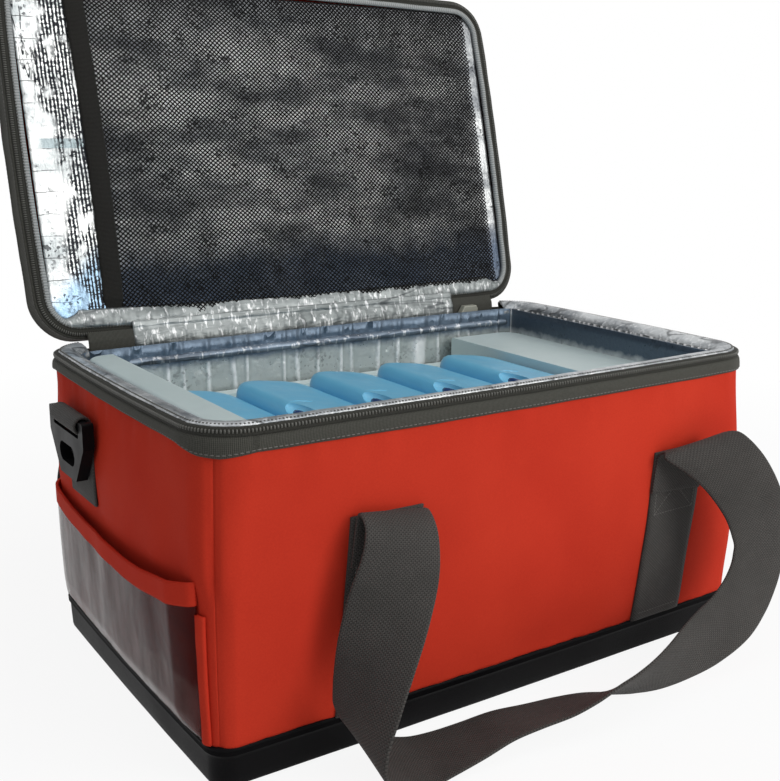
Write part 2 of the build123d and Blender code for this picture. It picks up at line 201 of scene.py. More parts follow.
def cloth_material(name, color, dark, weave, rough, specular):
    """Coated woven cloth: tiny crossing threads, uneven dye and a slightly worn gloss."""
    g = Graph(name)
    parts = g.split(g.place)
    threads = g.add("CombineXYZ", {"X": g.sum(parts[0], parts[1]), "Y": parts[2]}).outputs[0]
    woven = g.weave(weave * MM, weave * MM, threads)
    broad, fine = g.noise(9, 4, 0.55), g.noise(900, 2)
    shade = g.sum(g.ramp(broad, 0.3, 0.7, 0, 0.55), g.ramp(fine, 0.3, 0.7, 0, 0.3))
    return g.set(
        color=g.mix(shade, color, dark),
        rough=g.ramp(broad, 0.25, 0.75, rough - 0.06, rough + 0.08),
        normal=g.bump(fine, 0.05, 0.35, g.bump(woven, 0.05, 0.5)),
        sheen=0.0, specular=specular,
    )


def tape_material(name, color, light, pitch=1.0):
    """Woven tape with fine cross ribs, their tops painted lighter and painted shade in the hollows between
    them; its UV is across and along, in millimetres.
    """
    g = Graph(name)
    across, along = g.split(g.uv())[:2]
    height = g.sum(g.sine(along, pitch), g.times(g.sine(across, 0.9), 0.4))
    fuzz = g.noise(700, 3)
    # Painted light: the rib tops are lighter and painted shade lies in the hollows between them
    return g.set(
        color=g.mix(g.ramp(g.sum(height, g.times(fuzz, 1.5)), -0.4, 1.9), color, light), rough=0.75,
        normal=g.bump(height, 0.12, 0.6, g.bump(fuzz, 0.1, 0.5)), sheen=0.03, specular=0.15,
    )


def webbing_material(name, color, light):
    """Heavy ribbed webbing: a basket of thick yarns, finer selvedges, painted highlights on the raised
    yarns with painted shade between them, and a random wear tone.
    """
    g = Graph(name)
    uv = g.uv()
    across, along = g.split(uv)[:2]
    height = g.sum(
        g.times(g.weave(2.6, 2.3, uv), 0.55), g.times(g.sine(along, 1.15), 0.3),
        g.times(g.sine(across, 1.3), 0.25),
    )
    fuzz, wear = g.noise(600, 4, 0.6), g.noise(30, 4, 0.6)
    # Painted highlights on the raised yarns and painted shade between them, times a random wear tone
    shade = g.times(g.ramp(height, -0.8, 0.9), g.ramp(wear, 0.3, 0.75, 0.55, 1.0))
    return g.set(
        color=g.mix(g.times(shade, g.ramp(fuzz, 0.2, 0.8, 0.7, 1.15)), color, light), rough=0.72,
        normal=g.bump(height, 0.28, 0.8, g.bump(fuzz, 0.12, 0.5)), sheen=0.05, specular=0.15,
    )


def foil_material(name, bright, mid, dark_reflection_share):
    """Crumpled metallised film with painted reflections. Its facets mirror lighter and darker parts of a
    room, so each facet has a painted tone of its own, in patches where the film is more or less crinkled;
    dark flecks and darkened facet edges are painted dark reflections."""
    g = Graph(name)
    patches = g.noise(13, 4, 0.6, warp=0.7)
    facets = g.tone(g.cells(95.0)["Color"])
    push = g.stretch((0.02, 0.02, 0.02), g.add("TexNoise", {"Scale": 90.0, "Detail": 2.0}).outputs["Color"])
    wavy = g.add("VectorMath", {0: g.place, 1: push}, operation="ADD").outputs[0]
    small = g.cells(400.0, wavy)
    # Painted reflections: a tone for each facet; the dark flecks and facet edges below are painted dark
    # reflections
    tone = g.times(g.ramp(facets, 0.0, 1.0), g.ramp(patches, 0.35, 0.65, 0.35, 1.0))
    dark_reflection_patches = g.times(g.ramp(patches, 0.44, 0.62), dark_reflection_share)
    specks = g.times(g.ramp(g.tone(small["Color"], 1), 0.60, 0.78), dark_reflection_patches)
    edges = g.cells(150, wavy, feature="DISTANCE_TO_EDGE")["Distance"]
    black = g.most(specks, g.times(g.ramp(edges, 0.0, 0.05, 1.0, 0.0), 0.35 * dark_reflection_share))
    dents = g.bump(g.noise(45, 4, 0.6, warp=0.5), 2.2, 0.5)
    return g.set(
        color=g.mix(black, g.mix(tone, bright, mid), (0.02, 0.022, 0.028)), metal=0.9,
        rough=g.ramp(g.noise(300, 3), 0.3, 0.7, 0.2, 0.36),
        normal=g.bump(small["Distance"], 0.5, 0.6, dents),
    )


def hem_foil(name, bright, mid, stretch):
    """Padded silver edging: long soft creases whose tones are painted reflections, painted shade along a
    few of them, and fine bright marks that are painted glints.
    """
    g = Graph(name)
    along = g.stretch(stretch)
    tone = g.noise(46, 5, 0.7, along, 0.5)
    glint_ticks = g.ramp(g.noise(330, 2, 0.5, g.stretch((1.0, 1.0, 0.22))), 0.56, 0.68, 0.0, 0.55)
    base = g.mix(glint_ticks, g.mix(g.ramp(tone, 0.38, 0.62), bright, mid), (0.86, 0.87, 0.88))
    # Painted shade along a few dark creases
    line = g.ramp(g.away(g.noise(24, 3, 0.6, along), 0.5), 0.004, 0.016, 0.75, 0.0)
    line = g.times(line, g.ramp(g.noise(15, 3, 0.5), 0.45, 0.55))
    return g.set(
        color=g.mix(line, base, (0.03, 0.035, 0.04)), metal=0.5,
        rough=g.ramp(g.noise(200, 3), 0.3, 0.7, 0.3, 0.45),
        normal=g.bump(glint_ticks, 0.4, 0.6, g.bump(tone, 2.4, 0.7)),
    )


def pleated_foil(name, bright, mid, low, dark_reflection_share=0.4, band_at=2.02, metal=0.55):
    """Foil on the walls. Its UV is the height of the pleat there and the height in the bag. Painted
    highlights run along the pleats' ridges, the band colour near the top is painted shade under the hem,
    and dark flecks are painted dark reflections.
    """
    g = Graph(name)
    pleat, height = g.split(g.uv())[:2]
    fine = g.noise(240, 4, 0.65)
    # Painted highlights: lighter towards each pleat's ridge
    base = g.mix(g.ramp(g.sum(pleat, g.centred(fine, 0.7)), 0.15, 0.85), mid, bright)
    # Painted shade: a band near the top of the wall, under the hem
    band = g.ramp(g.sum(height, g.times(g.noise(120, 4), 0.08)), band_at, band_at + 0.07)
    dark_reflection_patches = g.ramp(g.noise(30, 3, 0.6), 0.5, 0.62, 0.0, dark_reflection_share)
    black = g.times(g.ramp(g.tone(g.cells(420.0)["Color"]), 0.68, 0.8), dark_reflection_patches)
    return g.set(
        color=g.mix(black, g.mix(band, base, low), (0.03, 0.034, 0.04)), metal=metal,
        rough=g.ramp(fine, 0.3, 0.7, 0.26, 0.44), normal=g.bump(fine, 0.8, 0.6),
    )


def margin_foil(name):
    """The lid's lining. Its UV is x across and v up the lid, in millimetres: columns of dark dots beside
    the net's tape, short level tucks and wandering creases at its outer side with painted shade along the
    creases, small dark flecks of painted reflection, a blue-grey seam half way up, painted shade behind the
    net, and blue reflections low down."""
    g = Graph(name)
    uv = g.uv()
    x, v = g.split(uv)[:2]

    def shaped(scale_x, scale_v, size, detail=3.0):
        return g.noise(size, detail, 0.6, g.stretch((scale_x, scale_v, 1.0), uv))

    def even(size):
        return shaped(1.0, 1.0, size)

    left_part = g.ramp(x, -172.0, -168.0, 1.0, 0.0)
    right_part = g.ramp(left_part, 0.0, 1.0, 1.0, 0.0)
    wander = shaped(1.0, 0.28, 0.05)

    # Dark marks: columns of dots, painted shade along the creases, tucks, and flecks of painted dark
    # reflection
    columns = g.math("SINE", g.sum(g.times(x, 2 * math.pi / 2.9), g.times(wander, 9.0)))
    column = g.ramp(g.sum(columns, g.centred(shaped(0.45, 0.75, 0.55), 6.5)), -0.75, -0.25)
    edge = g.sum(g.ramp(v, 40.0, 190.0, -201.0, -208.0), g.centred(shaped(0.3, 1.0, 0.022), 70.0))
    beside = g.ramp(g.math("SUBTRACT", x, edge), -3.0, 4.0)
    column = g.times(column, beside, g.ramp(shaped(1.0, 0.45, 0.06), 0.36, 0.44))
    line = g.ramp(g.away(shaped(1.0, 0.16, 0.07, 2.0), 0.5), 0.006, 0.016, 1.0, 0.0)
    line = g.times(
        line, g.ramp(x, -204.0, -199.0, 1.0, 0.0), g.ramp(v, 170.0, 190.0), g.ramp(even(0.12), 0.42, 0.5),
    )
    tuck = g.math("ABSOLUTE", g.math("SINE", g.sum(g.times(v, math.pi / 17.0), even(0.03))))
    tuck = g.times(
        g.ramp(tuck, 0.03, 0.10, 0.85, 0.0), g.ramp(x, -207.0, -201.0, 1.0, 0.0),
        g.ramp(shaped(1.0, 0.3, 0.05), 0.4, 0.5),
    )
    # Painted dark reflections in small flecks
    painted_dark_speck = g.ramp(g.tone(g.cells(0.5, uv)["Color"]), 0.7, 0.8)
    painted_dark_speck = g.times(painted_dark_speck, g.ramp(even(0.05), 0.5, 0.6, 0.0, 0.8))
    dark = g.most(g.times(g.most(column, g.most(line, tuck)), left_part), painted_dark_speck)

    # Tones of the foil, from the plain film through painted shade behind the net to the blue reflections
    broad = shaped(0.6, 1.5, 0.016, 4.0)
    base = g.mix(g.ramp(broad, 0.42, 0.62), (0.72, 0.74, 0.74), (0.36, 0.39, 0.40))
    seam = g.times(g.ramp(g.away(v, 154.0), 3.4, 4.2, 0.8, 0.0), g.ramp(x, -216.0, -211.0), left_part)
    base = g.mix(seam, base, (0.20, 0.26, 0.28))
    shade = g.most(g.ramp(v, 205.0, 280.0, 0.0, 0.85), g.ramp(broad, 0.44, 0.62, 0.25, 0.85))
    base = g.mix(g.times(right_part, shade), base, (0.10, 0.105, 0.12))
    navy = g.times(right_part, g.ramp(g.sum(v, g.times(wander, 30.0)), 92.0, 66.0, 0.0, 0.9))
    base = g.mix(navy, base, (0.06, 0.085, 0.13))
    low = g.times(left_part, g.ramp(g.math("SUBTRACT", v, g.times(x, 0.9)), 222.0, 238.0, 1.0, 0.0))
    base = g.mix(g.times(low, 0.8), base, (0.22, 0.38, 0.55))
    return g.set(
        color=g.mix(dark, base, (0.010, 0.011, 0.014)), metal=0.85,
        rough=g.ramp(g.noise(0.4, 3, 0.6, uv), 0.3, 0.7, 0.25, 0.42),
        normal=g.bump(g.noise(0.35, 4, 0.65, uv), 1.0, 0.6),
    )


def plastic_material(name, color, dark, rough=0.4, grain=500, depth=0.05, **more):
    """Moulded plastic: fine grain, slightly uneven colour and gloss."""
    g = Graph(name)
    return g.set(
        color=g.mix(g.ramp(g.noise(22, 4, 0.6), 0.3, 0.75), color, dark),
        rough=g.ramp(g.noise(60, 4), 0.3, 0.7, rough - 0.05, rough + 0.08),
        normal=g.bump(g.noise(grain, 3, 0.6), depth, 0.5), **more,
    )


def clear_material(name):
    """Clear flexible sheet over the red cloth. Its UV is the height and the depth in the bag: a mauve haze
    over most of it, partly the sheet's own and partly a painted reflection, with a clear area high at the
    front end, darkened there as painted shade over the cloth beneath."""
    g = Graph(name)
    uv = g.uv()
    height, depth = g.split(uv)[:2]
    wave = g.centred(g.noise(0.05, 3, 0.5, uv), 22.0)
    front = g.ramp(g.sum(depth, wave), -48.0, -52.0)
    # Painted shade: a darker area high at the front end
    painted_shade_patch = g.times(front, g.ramp(g.sum(height, wave), 68.0, 72.0))
    streaks = g.noise(0.1, 3, 0.6, g.stretch((0.25, 1.0, 1.0), uv, (0, 0, 0.5)))
    # Partly the sheet's own haze, partly a painted reflection
    haze_and_reflection = g.mix(g.ramp(streaks, 0.35, 0.7), (0.062, 0.024, 0.020), (0.155, 0.072, 0.070))
    ripples = g.noise(26, 3, 0.5, g.stretch((1, 1, 0.35)))
    return g.set(
        color=g.mix(painted_shade_patch, haze_and_reflection, (0.055, 0.001, 0.001)),
        alpha=g.ramp(g.noise(11, 3, 0.55, warp=1.2), 0.36, 0.62, 0.52, 0.74), rough=0.16,
        normal=g.bump(ripples, 2.5, 0.5), coat=0.05, coat_rough=0.04, specular=0.08,
    )


MAT = {
    "red": cloth_material("red_cloth", (0.62, 0.047, 0.022), (0.50, 0.030, 0.016), 0.75, 0.66, 0.04),
    "black": cloth_material(
        "black_cloth", (0.0025, 0.0025, 0.003), (0.005, 0.0045, 0.005), 0.7, 0.46, 0.05,
    ),
    "tape": tape_material("binding_tape", (0.035, 0.035, 0.029), (0.085, 0.085, 0.074)),
    "zip_tape": tape_material("zip_tape", (0.02, 0.02, 0.017), (0.05, 0.05, 0.043), 0.8),
    "black_tape": tape_material("black_tape", (0.006, 0.006, 0.005), (0.02, 0.019, 0.017)),
    "piping": tape_material("lid_piping", (0.23, 0.245, 0.245), (0.46, 0.48, 0.48), 2.2),
    "webbing": webbing_material("webbing", (0.024, 0.023, 0.0215), (0.115, 0.108, 0.102)),
    "coil": plastic_material("zip_coil", (0.10, 0.10, 0.088), (0.06, 0.06, 0.052), 0.42),
    "thread": plastic_material("thread", (0.17, 0.165, 0.155), (0.10, 0.098, 0.09), 0.7),
    "foil": foil_material("foil_film", (0.90, 0.91, 0.91), (0.50, 0.53, 0.55), 0.7),
    "foil_hem": hem_foil("foil_hem", (0.62, 0.64, 0.65), (0.24, 0.26, 0.28), (0.5, 0.5, 1.0)),
    # A darker copy of the hem foil: painted shade on the hinge cloth and the lid's hem
    "shaded_foil_strip": hem_foil("shaded_foil_strip", (0.25, 0.27, 0.27), (0.11, 0.125, 0.125), (0.16, 1.0, 1.0)),
    "foil_shade": hem_foil("foil_shade", (0.20, 0.25, 0.31), (0.06, 0.08, 0.11), (0.3, 1.0, 1.0)),
    # The walls' bright pleat ridges are painted highlights and their dark blue-grey top band is painted
    # shade under the hem
    "foil_wall": pleated_foil("foil_wall", (0.97, 0.98, 0.98), (0.52, 0.56, 0.55), (0.10, 0.14, 0.19)),
    # The end wall: the same foil painted much darker between its ridges as painted shade, with painted
    # highlights on the ridges
    "foil_end": pleated_foil(
        "foil_end", (1.0, 1.0, 1.0), (0.12, 0.13, 0.135), (0.50, 0.57, 0.60), 0.5, 2.3, 0.25,
    ),
    "lid_foil": margin_foil("lid_foil"),
    "net": plastic_material("net_yarn", (0.005, 0.005, 0.005), (0.010, 0.009, 0.009), 0.7, specular=0.05),
    "white": plastic_material(
        "white_insert", (0.63, 0.735, 0.735), (0.57, 0.68, 0.68), 0.42, 350, 0.04,
        subsurface=0.15, radius=(1.0, 1.0, 1.0), spread=0.004,
    ),
    "blue": plastic_material("blue_pack", (0.18, 0.55, 0.80), (0.15, 0.51, 0.77), 0.36, 420, coat=0.15),
    "cap": plastic_material("blue_cap", (0.035, 0.09, 0.24), (0.02, 0.06, 0.19), 0.2),
    "black_plastic": plastic_material(
        "black_plastic", (0.005, 0.005, 0.006), (0.008, 0.008, 0.008), 0.34, 600, 0.06, specular=0.05,
    ),
    "slider": plastic_material("zip_slider_paint", (0.33, 0.335, 0.28), (0.27, 0.27, 0.23)),
    "clear": clear_material("clear_sheet"),
}


# Mesh helpers


def turn_outward(mesh):
    """Turn the faces of a closed mesh round where they all look inward."""
    shell = bmesh.new()
    shell.from_mesh(mesh)
    if shell.calc_volume(signed=True) < 0:
        bmesh.ops.reverse_faces(shell, faces=shell.faces)
        shell.to_mesh(mesh)
    shell.free()


def add_object(name, verts, faces, mat, body, replaces=(), uv=None, flat_angle=None):
    """A mesh piece in metres that rides on a body; where body is a tuple (first, second, start, end), what
    it holds is not used and the piece is left unattached. uv holds a pair for each vertex."""
    mesh = bpy.data.meshes.new(name)
    mesh.from_pydata((np.asarray(verts, float) * MM).tolist(), [], [list(map(int, f)) for f in faces])
    mesh.validate()
    turn_outward(mesh)
    if uv is not None:
        layer = mesh.uv_layers.new(name="cloth")
        index = np.empty(len(mesh.loops), dtype=np.int32)
        mesh.loops.foreach_get("vertex_index", index)
        layer.data.foreach_set("uv", np.asarray(uv, float)[index].ravel())
    mesh.materials.append(MAT[mat])
    mesh.polygons.foreach_set("use_smooth", [True] * len(mesh.polygons))
    if flat_angle:
        mesh.set_sharp_from_angle(angle=math.radians(flat_angle))
    piece = bpy.data.objects.new(name, mesh)
    bpy.context.scene.collection.objects.link(piece)
    if isinstance(body, tuple):
        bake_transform(piece)
    else:
        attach(piece, body)
    if replaces:
        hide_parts(*replaces)
    return piece


def grid_faces(rows, cols, wrap_rows=False, wrap_cols=False, flip=False, start=0):
    """Quads between the vertices of a rows by cols grid."""
    faces = []
    for i in range(rows if wrap_rows else rows - 1):
        for j in range(cols if wrap_cols else cols - 1):
            a, b = i * cols + j, i * cols + (j + 1) % cols
            c, d = ((i + 1) % rows) * cols + (j + 1) % cols, ((i + 1) % rows) * cols + j
            quad = (a, d, c, b) if flip else (a, b, c, d)
            faces.append(tuple(start + k for k in quad))
    return faces


def tube_faces(rows, cols):
    """A tube of rows rings with both its ends closed."""
    caps = [tuple(range(cols))[::-1], tuple(range((rows - 1) * cols, rows * cols))]
    return grid_faces(rows, cols, wrap_cols=True) + caps


def slab(outer, inner):
    """A closed sheet between two grids of points; returns vertices and faces."""
    rows, cols = outer.shape[:2]
    count, top = rows * cols, (rows - 1) * cols
    verts = np.concatenate([outer.reshape(-1, 3), inner.reshape(-1, 3)])
    faces = grid_faces(rows, cols) + grid_faces(rows, cols, flip=True, start=count)
    for j in range(cols - 1):
        faces.append((j + 1, j, count + j, count + j + 1))
        faces.append((top + j, top + j + 1, count + top + j + 1, count + top + j))
    for a in range(0, top, cols):
        b = a + cols
        faces.append((a, b, count + b, count + a))
        faces.append((b + cols - 1, b - 1, count + b - 1, count + b + cols - 1))
    return verts, faces


def add_sheet(name, outer, inner, mat, body, replaces=(), uv=None):
    """A closed sheet as a piece; uv is a pair of grids, used on both its faces."""
    verts, faces = slab(outer, inner)
    pairs = None if uv is None else np.tile(np.stack(uv, -1).reshape(-1, 2), (2, 1))
    return add_object(name, verts, faces, mat, body, replaces, pairs)


def smooth_noise(points, size, seed=0.0):
    """Perlin noise at the points, with features about size millimetres across."""
    flat = np.asarray(points, float).reshape(-1, 3) / size + seed
    values = [noise.noise(Vector(p)) for p in flat]
    return np.array(values).reshape(np.asarray(points).shape[:-1])


# Shape of the body and of the lid, the same as in the CAD part

BASE, WAIST, RIM = 0.0, 110.0, 226.4


def through(z, base, waist, rim):
    """The even curve through the three levels of the body."""
    z = np.asarray(z, float)
    a = base * (z - WAIST) * (z - RIM) / ((BASE - WAIST) * (BASE - RIM))
    b = waist * (z - BASE) * (z - RIM) / ((WAIST - BASE) * (WAIST - RIM))
    c = rim * (z - BASE) * (z - WAIST) / ((RIM - BASE) * (RIM - WAIST))
    return a + b + c


def rounded(u, half_w, half_d, radius, bow):
    """A bowed rounded rectangle. u runs 0 to 8 from the front's left end: a side, then
    its corner, and so on round; returns x and y."""
    u = np.mod(np.asarray(u, float), 8)
    side = (u // 2).astype(int)
    t = u - 2 * side
    half_w, half_d, radius, bow = (np.broadcast_to(v, u.shape) for v in (half_w, half_d, radius, bow))
    long_side = side % 2 == 0
    reach = np.where(long_side, half_w, half_d)
    away = np.where(long_side, half_d, half_w)
    run = (2 * t - 1) * (reach - radius)
    s1, o1 = run, away + bow * (1 - (run / reach) ** 2)
    angle = np.clip(t - 1, 0, 1) * np.pi / 2
    start = bow * (1 - ((reach - radius) / reach) ** 2)
    end = bow * (1 - ((away - radius) / away) ** 2)
    r = radius + start + (end - start) * np.clip(t - 1, 0, 1)
    s2, o2 = reach - radius + r * np.sin(angle), away - radius + r * np.cos(angle)
    s, o = np.where(t <= 1, s1, s2), np.where(t <= 1, o1, o2)
    x = np.choose(side, [s, o, -s, -o])
    y = np.choose(side, [-o, s, o, -s])
    return x, y


def body_at(u, z, grow=0.0):
    """Points on the body's outer form, grown by a number of millimetres."""
    u, z, grow = np.broadcast_arrays(np.asarray(u, float), z, grow)
    draw = through(z, -3, 0, 0) + grow
    x, y = rounded(u, 230 + draw, 144 + draw, through(z, 14, 20, 34) + grow, through(z, 1, 5, 4))
    return np.stack([x, y, z], -1)


LEAN = math.radians(14.4)  # how far the open lid leans back
HINGE_Y, HINGE_Z = 143.5, 227.0
LID_HALF_W, LID_HALF_D, LID_CORNER, LID_BOW = 232, 143.3, 32, 3.0
LID_MIDDLE = 146.7


def lid_place(x, v, w):
    """A point given in the lid's plane: x, distance from the hinge, height off its rim plane."""
    x, v, w = np.broadcast_arrays(np.asarray(x, float), v, w)
    y = HINGE_Y + v * math.sin(LEAN) - w * math.cos(LEAN)
    z = HINGE_Z + v * math.cos(LEAN) + w * math.sin(LEAN)
    return np.stack([x, y, z], -1)


def lid_at(u, w, grow=0.0):
    """Points on the lid's outline at a height off its rim plane."""
    u, w, grow = np.broadcast_arrays(np.asarray(u, float), w, grow)
    x, v = rounded(u, LID_HALF_W + grow, LID_HALF_D + grow, LID_CORNER + grow, LID_BOW)
    return lid_place(x, v + LID_MIDDLE, w)


def arc_lengths(points):
    steps = np.linalg.norm(np.diff(points, axis=0), axis=1)
    return np.concatenate([[0], np.cumsum(steps)])


def stations(at, height, grow, pitch, low=0.0, high=8.0):
    """Values of u at even steps along the outline."""
    u = np.linspace(low, high, 1600)
    length = arc_lengths(at(u, height, grow))
    count = max(2, int(round(length[-1] / pitch)))
    return np.interp(np.arange(count) * length[-1] / count, length, u)


def with_axes(centre, along, up):
    """Places for beads: centres with their along, outward and upward directions."""
    along = along / np.linalg.norm(along, axis=1)[:, None]
    up = np.broadcast_to(np.asarray(up, float), centre.shape)
    up = up - (along * up).sum(1)[:, None] * along
    up = up / np.linalg.norm(up, axis=1)[:, None]
    return centre, along, np.cross(along, up), up


def frames(at, u, height, grow, lift):
    """Places on an outline."""
    return with_axes(at(u, height, grow), at(u + 0.003, height, grow) - at(u - 0.003, height, grow), lift)


def outward(at, u, height, grow):
    """The step from an outline to the one a millimetre outside it."""
    return at(u, height, grow + 1.0) - at(u, height, grow)


UP = np.array([0.0, 0.0, 1.0])
LID_UP = np.array([0.0, -math.cos(LEAN), math.sin(LEAN)])
SIDE_STEPS = (41, 13, 27, 13)
U_FULL = np.concatenate([np.linspace(k, k + 1, SIDE_STEPS[k % 4])[:-1] for k in range(8)])


def dense(us, factor):
    """More values of u between the given ones."""
    steps = np.arange(len(us) * factor - factor + 1) / factor
    return np.interp(steps, np.arange(len(us)), us)


def band(name, at, us, profile, mat, body, slot, replaces, closed=True, ripple=None):
    """A strip that runs round an outline; profile is a closed list of (grow, height)."""
    grow, height = (np.array(v, float) for v in zip(*profile))
    uu, gg = np.meshgrid(us, grow, indexing="ij")
    hh = np.broadcast_to(height, uu.shape)
    points = at(uu, hh, gg)
    if ripple:
        points = ripple(points, uu, gg, hh)
    rows, cols = uu.shape
    faces = grid_faces(rows, cols, wrap_rows=True, wrap_cols=True) if closed else tube_faces(rows, cols)
    along = arc_lengths(at(us, float(height.mean()), 0.0))
    across = arc_lengths(np.stack([grow, height], -1))
    uv = np.stack(np.meshgrid(across, along), -1).reshape(-1, 2)
    return add_object(name, points.reshape(-1, 3), faces, mat, body, replaces, uv)


CORNER = 0.72
BEAD = np.array([
    (1, 0, 0), (-1, 0, 0), (0, 1, 0), (0, -1, 0), (0, 0, 1), (0, 0, -1),
    *[(a, b, c) for a in (-CORNER, CORNER) for b in (-CORNER, CORNER) for c in (-CORNER, CORNER)],
])


def bead_faces():
    """Faces of the bead's hull."""
    mesh = bmesh.new()
    for p in BEAD:
        mesh.verts.new(p)
    bmesh.ops.convex_hull(mesh, input=mesh.verts)
    mesh.verts.index_update()
    faces = [tuple(v.index for v in f.verts) for f in mesh.faces]
    mesh.free()
    return faces


BEAD_FACES = bead_faces()


def beads(name, places, size, mat, body, replaces=()):
    """Many small rounded blocks: teeth of a zip or stitches. size is along, outward, up."""
    centre, *axes = (p[:, None, :] for p in places)
    local = BEAD * np.array(size) / 2
    verts = centre + sum(local[None, :, k:k + 1] * axis for k, axis in enumerate(axes))
    faces = [tuple(i * len(BEAD) + k for k in face) for i in range(len(centre)) for face in BEAD_FACES]
    return add_object(name, verts.reshape(-1, 3), faces, mat, body, replaces)


def line_frames(points, up, pitch):
    """Places at even steps along a line of points."""
    points = np.asarray(points, float)
    length = arc_lengths(points)
    count = max(1, int(length[-1] / pitch))
    at = (np.arange(count) + 0.5) * length[-1] / count

    def on_line(where):
        return np.stack([np.interp(where, length, axis) for axis in points.T], -1)

    return with_axes(on_line(at), on_line(at + 0.5) - on_line(at - 0.5), up)


# Body cloth: each side reaches the middle of its two corners

PANEL_LOW, PANEL_HIGH = 27.0, 217.5


def body_wrinkles(points):
    """How far the cloth stands off its even form: slow waves, flat under the pocket, and
    puckers at the rim and the boot."""
    z = points[..., 2]
    slow = smooth_noise(points, 85, 3.1) * 2.6 + smooth_noise(points * (1, 1, 0.6), 34, 7.7) * 1.7
    under_pocket = np.clip((-points[..., 0] - 215) / 10, 0, 1) * np.clip((132.0 - z) / 14, 0, 1)
    slow = slow * (1 - under_pocket) - 1.2 * under_pocket
    below_rim = 2.4 * np.exp(-(((z - 198.0) / 15.0) ** 2))
    pucker = smooth_noise(points * (1, 1, 0.16), 8.5, 1.9)
    pucker = pucker + below_rim * smooth_noise(points * (1, 1, 0.22), 15.0, 5.9)
    near_rim, near_boot = np.exp(-(PANEL_HIGH - z) / 17.0), np.exp(-(z - 28.0) / 7.0)
    return slow * (1 - near_rim) * (1 - 0.7 * near_boot) + pucker * (near_rim * 1.1 + near_boot * 0.5)


def corner_seam(u):
    """0 away from a corner's seam, 1 on it."""
    away = np.abs(np.mod(np.asarray(u) - 1.5 + 1, 2) - 1)
    return np.exp(-(away / 0.085) ** 2)


def panel_points(u, z, grow=0.0):
    off = body_wrinkles(body_at(u, z, 0.0)) * (1 - corner_seam(u)) - 1.3 * corner_seam(u)
    return body_at(u, z, grow) + outward(body_at, u, z, grow) * off[..., None]


def body_panel(side, low, columns):
    us = np.concatenate([
        np.linspace(low, low + 0.5, 13)[:-1],
        np.linspace(low + 0.5, low + 1.5, columns),
        np.linspace(low + 1.5, low + 2.0, 13)[1:],
    ])
    zs = np.concatenate([np.linspace(PANEL_LOW, 180, 62)[:-1], np.linspace(180, PANEL_HIGH, 24)])
    zz, uu = np.meshgrid(zs, us, indexing="ij")
    outer, inner = panel_points(uu, zz), body_at(uu, zz, -2.0)
    replaces = (f"{side}_panel", f"{side}_foam")
    add_sheet(f"{side}_cloth", outer, inner, "red", "bag", replaces)


for side, low, columns in (("front", -0.5, 121), ("right", 1.5, 81), ("rear", 3.5, 121), ("left", 5.5, 81)):
    body_panel(side, low, columns)

# Boot: turned under at the base, with a ribbed edge where the red cloth is let in

boot_profile = [
    (-16, 0.0), (-4, 0.0), (-1.8, 0.25), (-0.5, 1.2), (0.0, 3.0), (0.1, 8), (0.15, 14), (0.1, 20),
    (0.25, 22.2), (1.15, 22.9), (0.3, 23.7), (1.2, 24.5), (0.3, 25.3), (1.25, 26.1), (0.9, 27.2),
    (-0.4, 28.0), (-2.0, 28.0), (-2.0, 3.0), (-16, 2.5),
]


def boot_ripple(points, u, grow, height):
    amount = smooth_noise(points, 40, 5.2) * 0.6 * np.clip(height / 4, 0, 1) * (height < 21)
    return points + outward(body_at, u, height, grow) * amount[..., None]


band(
    "boot_wall", body_at, U_FULL, boot_profile, "black", "bag", "black_cloth", ("base_boot",),
    ripple=boot_ripple,
)


def floor_plate(name, low, high, grow, mat, replaces=()):
    """A flat plate with the outline of the body's foot."""
    verts = np.concatenate([body_at(U_FULL, low, grow), body_at(U_FULL, high, grow)])
    add_object(name, verts, tube_faces(2, len(U_FULL)), mat, "bag", replaces, flat_angle=30)


floor_plate("boot_sole", 0.2, 2.5, -15.0, "black")
floor_plate("base_layers", 2.6, 17.6, -4.0, "white", ("base_board", "base_foam"))

# Rim: binding, zip and silver hem

U_OPEN = (-2.78, 3.78)
TAPE_TOP = 220.4


def tape_drop(u):
    """The binding's height against its usual one: low on the left side, high at the front
    left corner, where its end is folded over."""
    return np.interp(np.mod(u, 8), *zip(
        (5.5, 1.0), (6.0, 0.68), (6.9, 0.68), (7.3, 1.2), (7.6, 1.28), (7.9, 1.06), (8.0, 1.0),
    ))


def rim_ripple(points, u, grow, height):
    lift = smooth_noise(points, 30, 2.2) * 0.5
    drop = (TAPE_TOP - height) * (1 - tape_drop(u))
    return points + UP * (lift + drop)[..., None]


rim_profile = [
    (-0.6, 211.0), (0.9, 210.2), (1.9, 210.9), (2.35, 212.6), (2.45, 215.2), (2.3, 217.8), (1.6, 219.6),
    (0.2, 220.4), (-1.2, 220.0), (-1.6, 218.0), (-1.6, 213.0),
]
band(
    "rim_tape", body_at, U_FULL, rim_profile, "tape", "bag", "grey_binding", ("rim_binding",),
    ripple=rim_ripple,
)
stitch_us = stations(body_at, 212.4, 2.2, 3.4)
beads(
    "rim_stitches", frames(body_at, stitch_us, TAPE_TOP - 8.2 * tape_drop(stitch_us), 2.2, UP),
    (2.6, 0.55, 0.7), "thread", "bag",
)

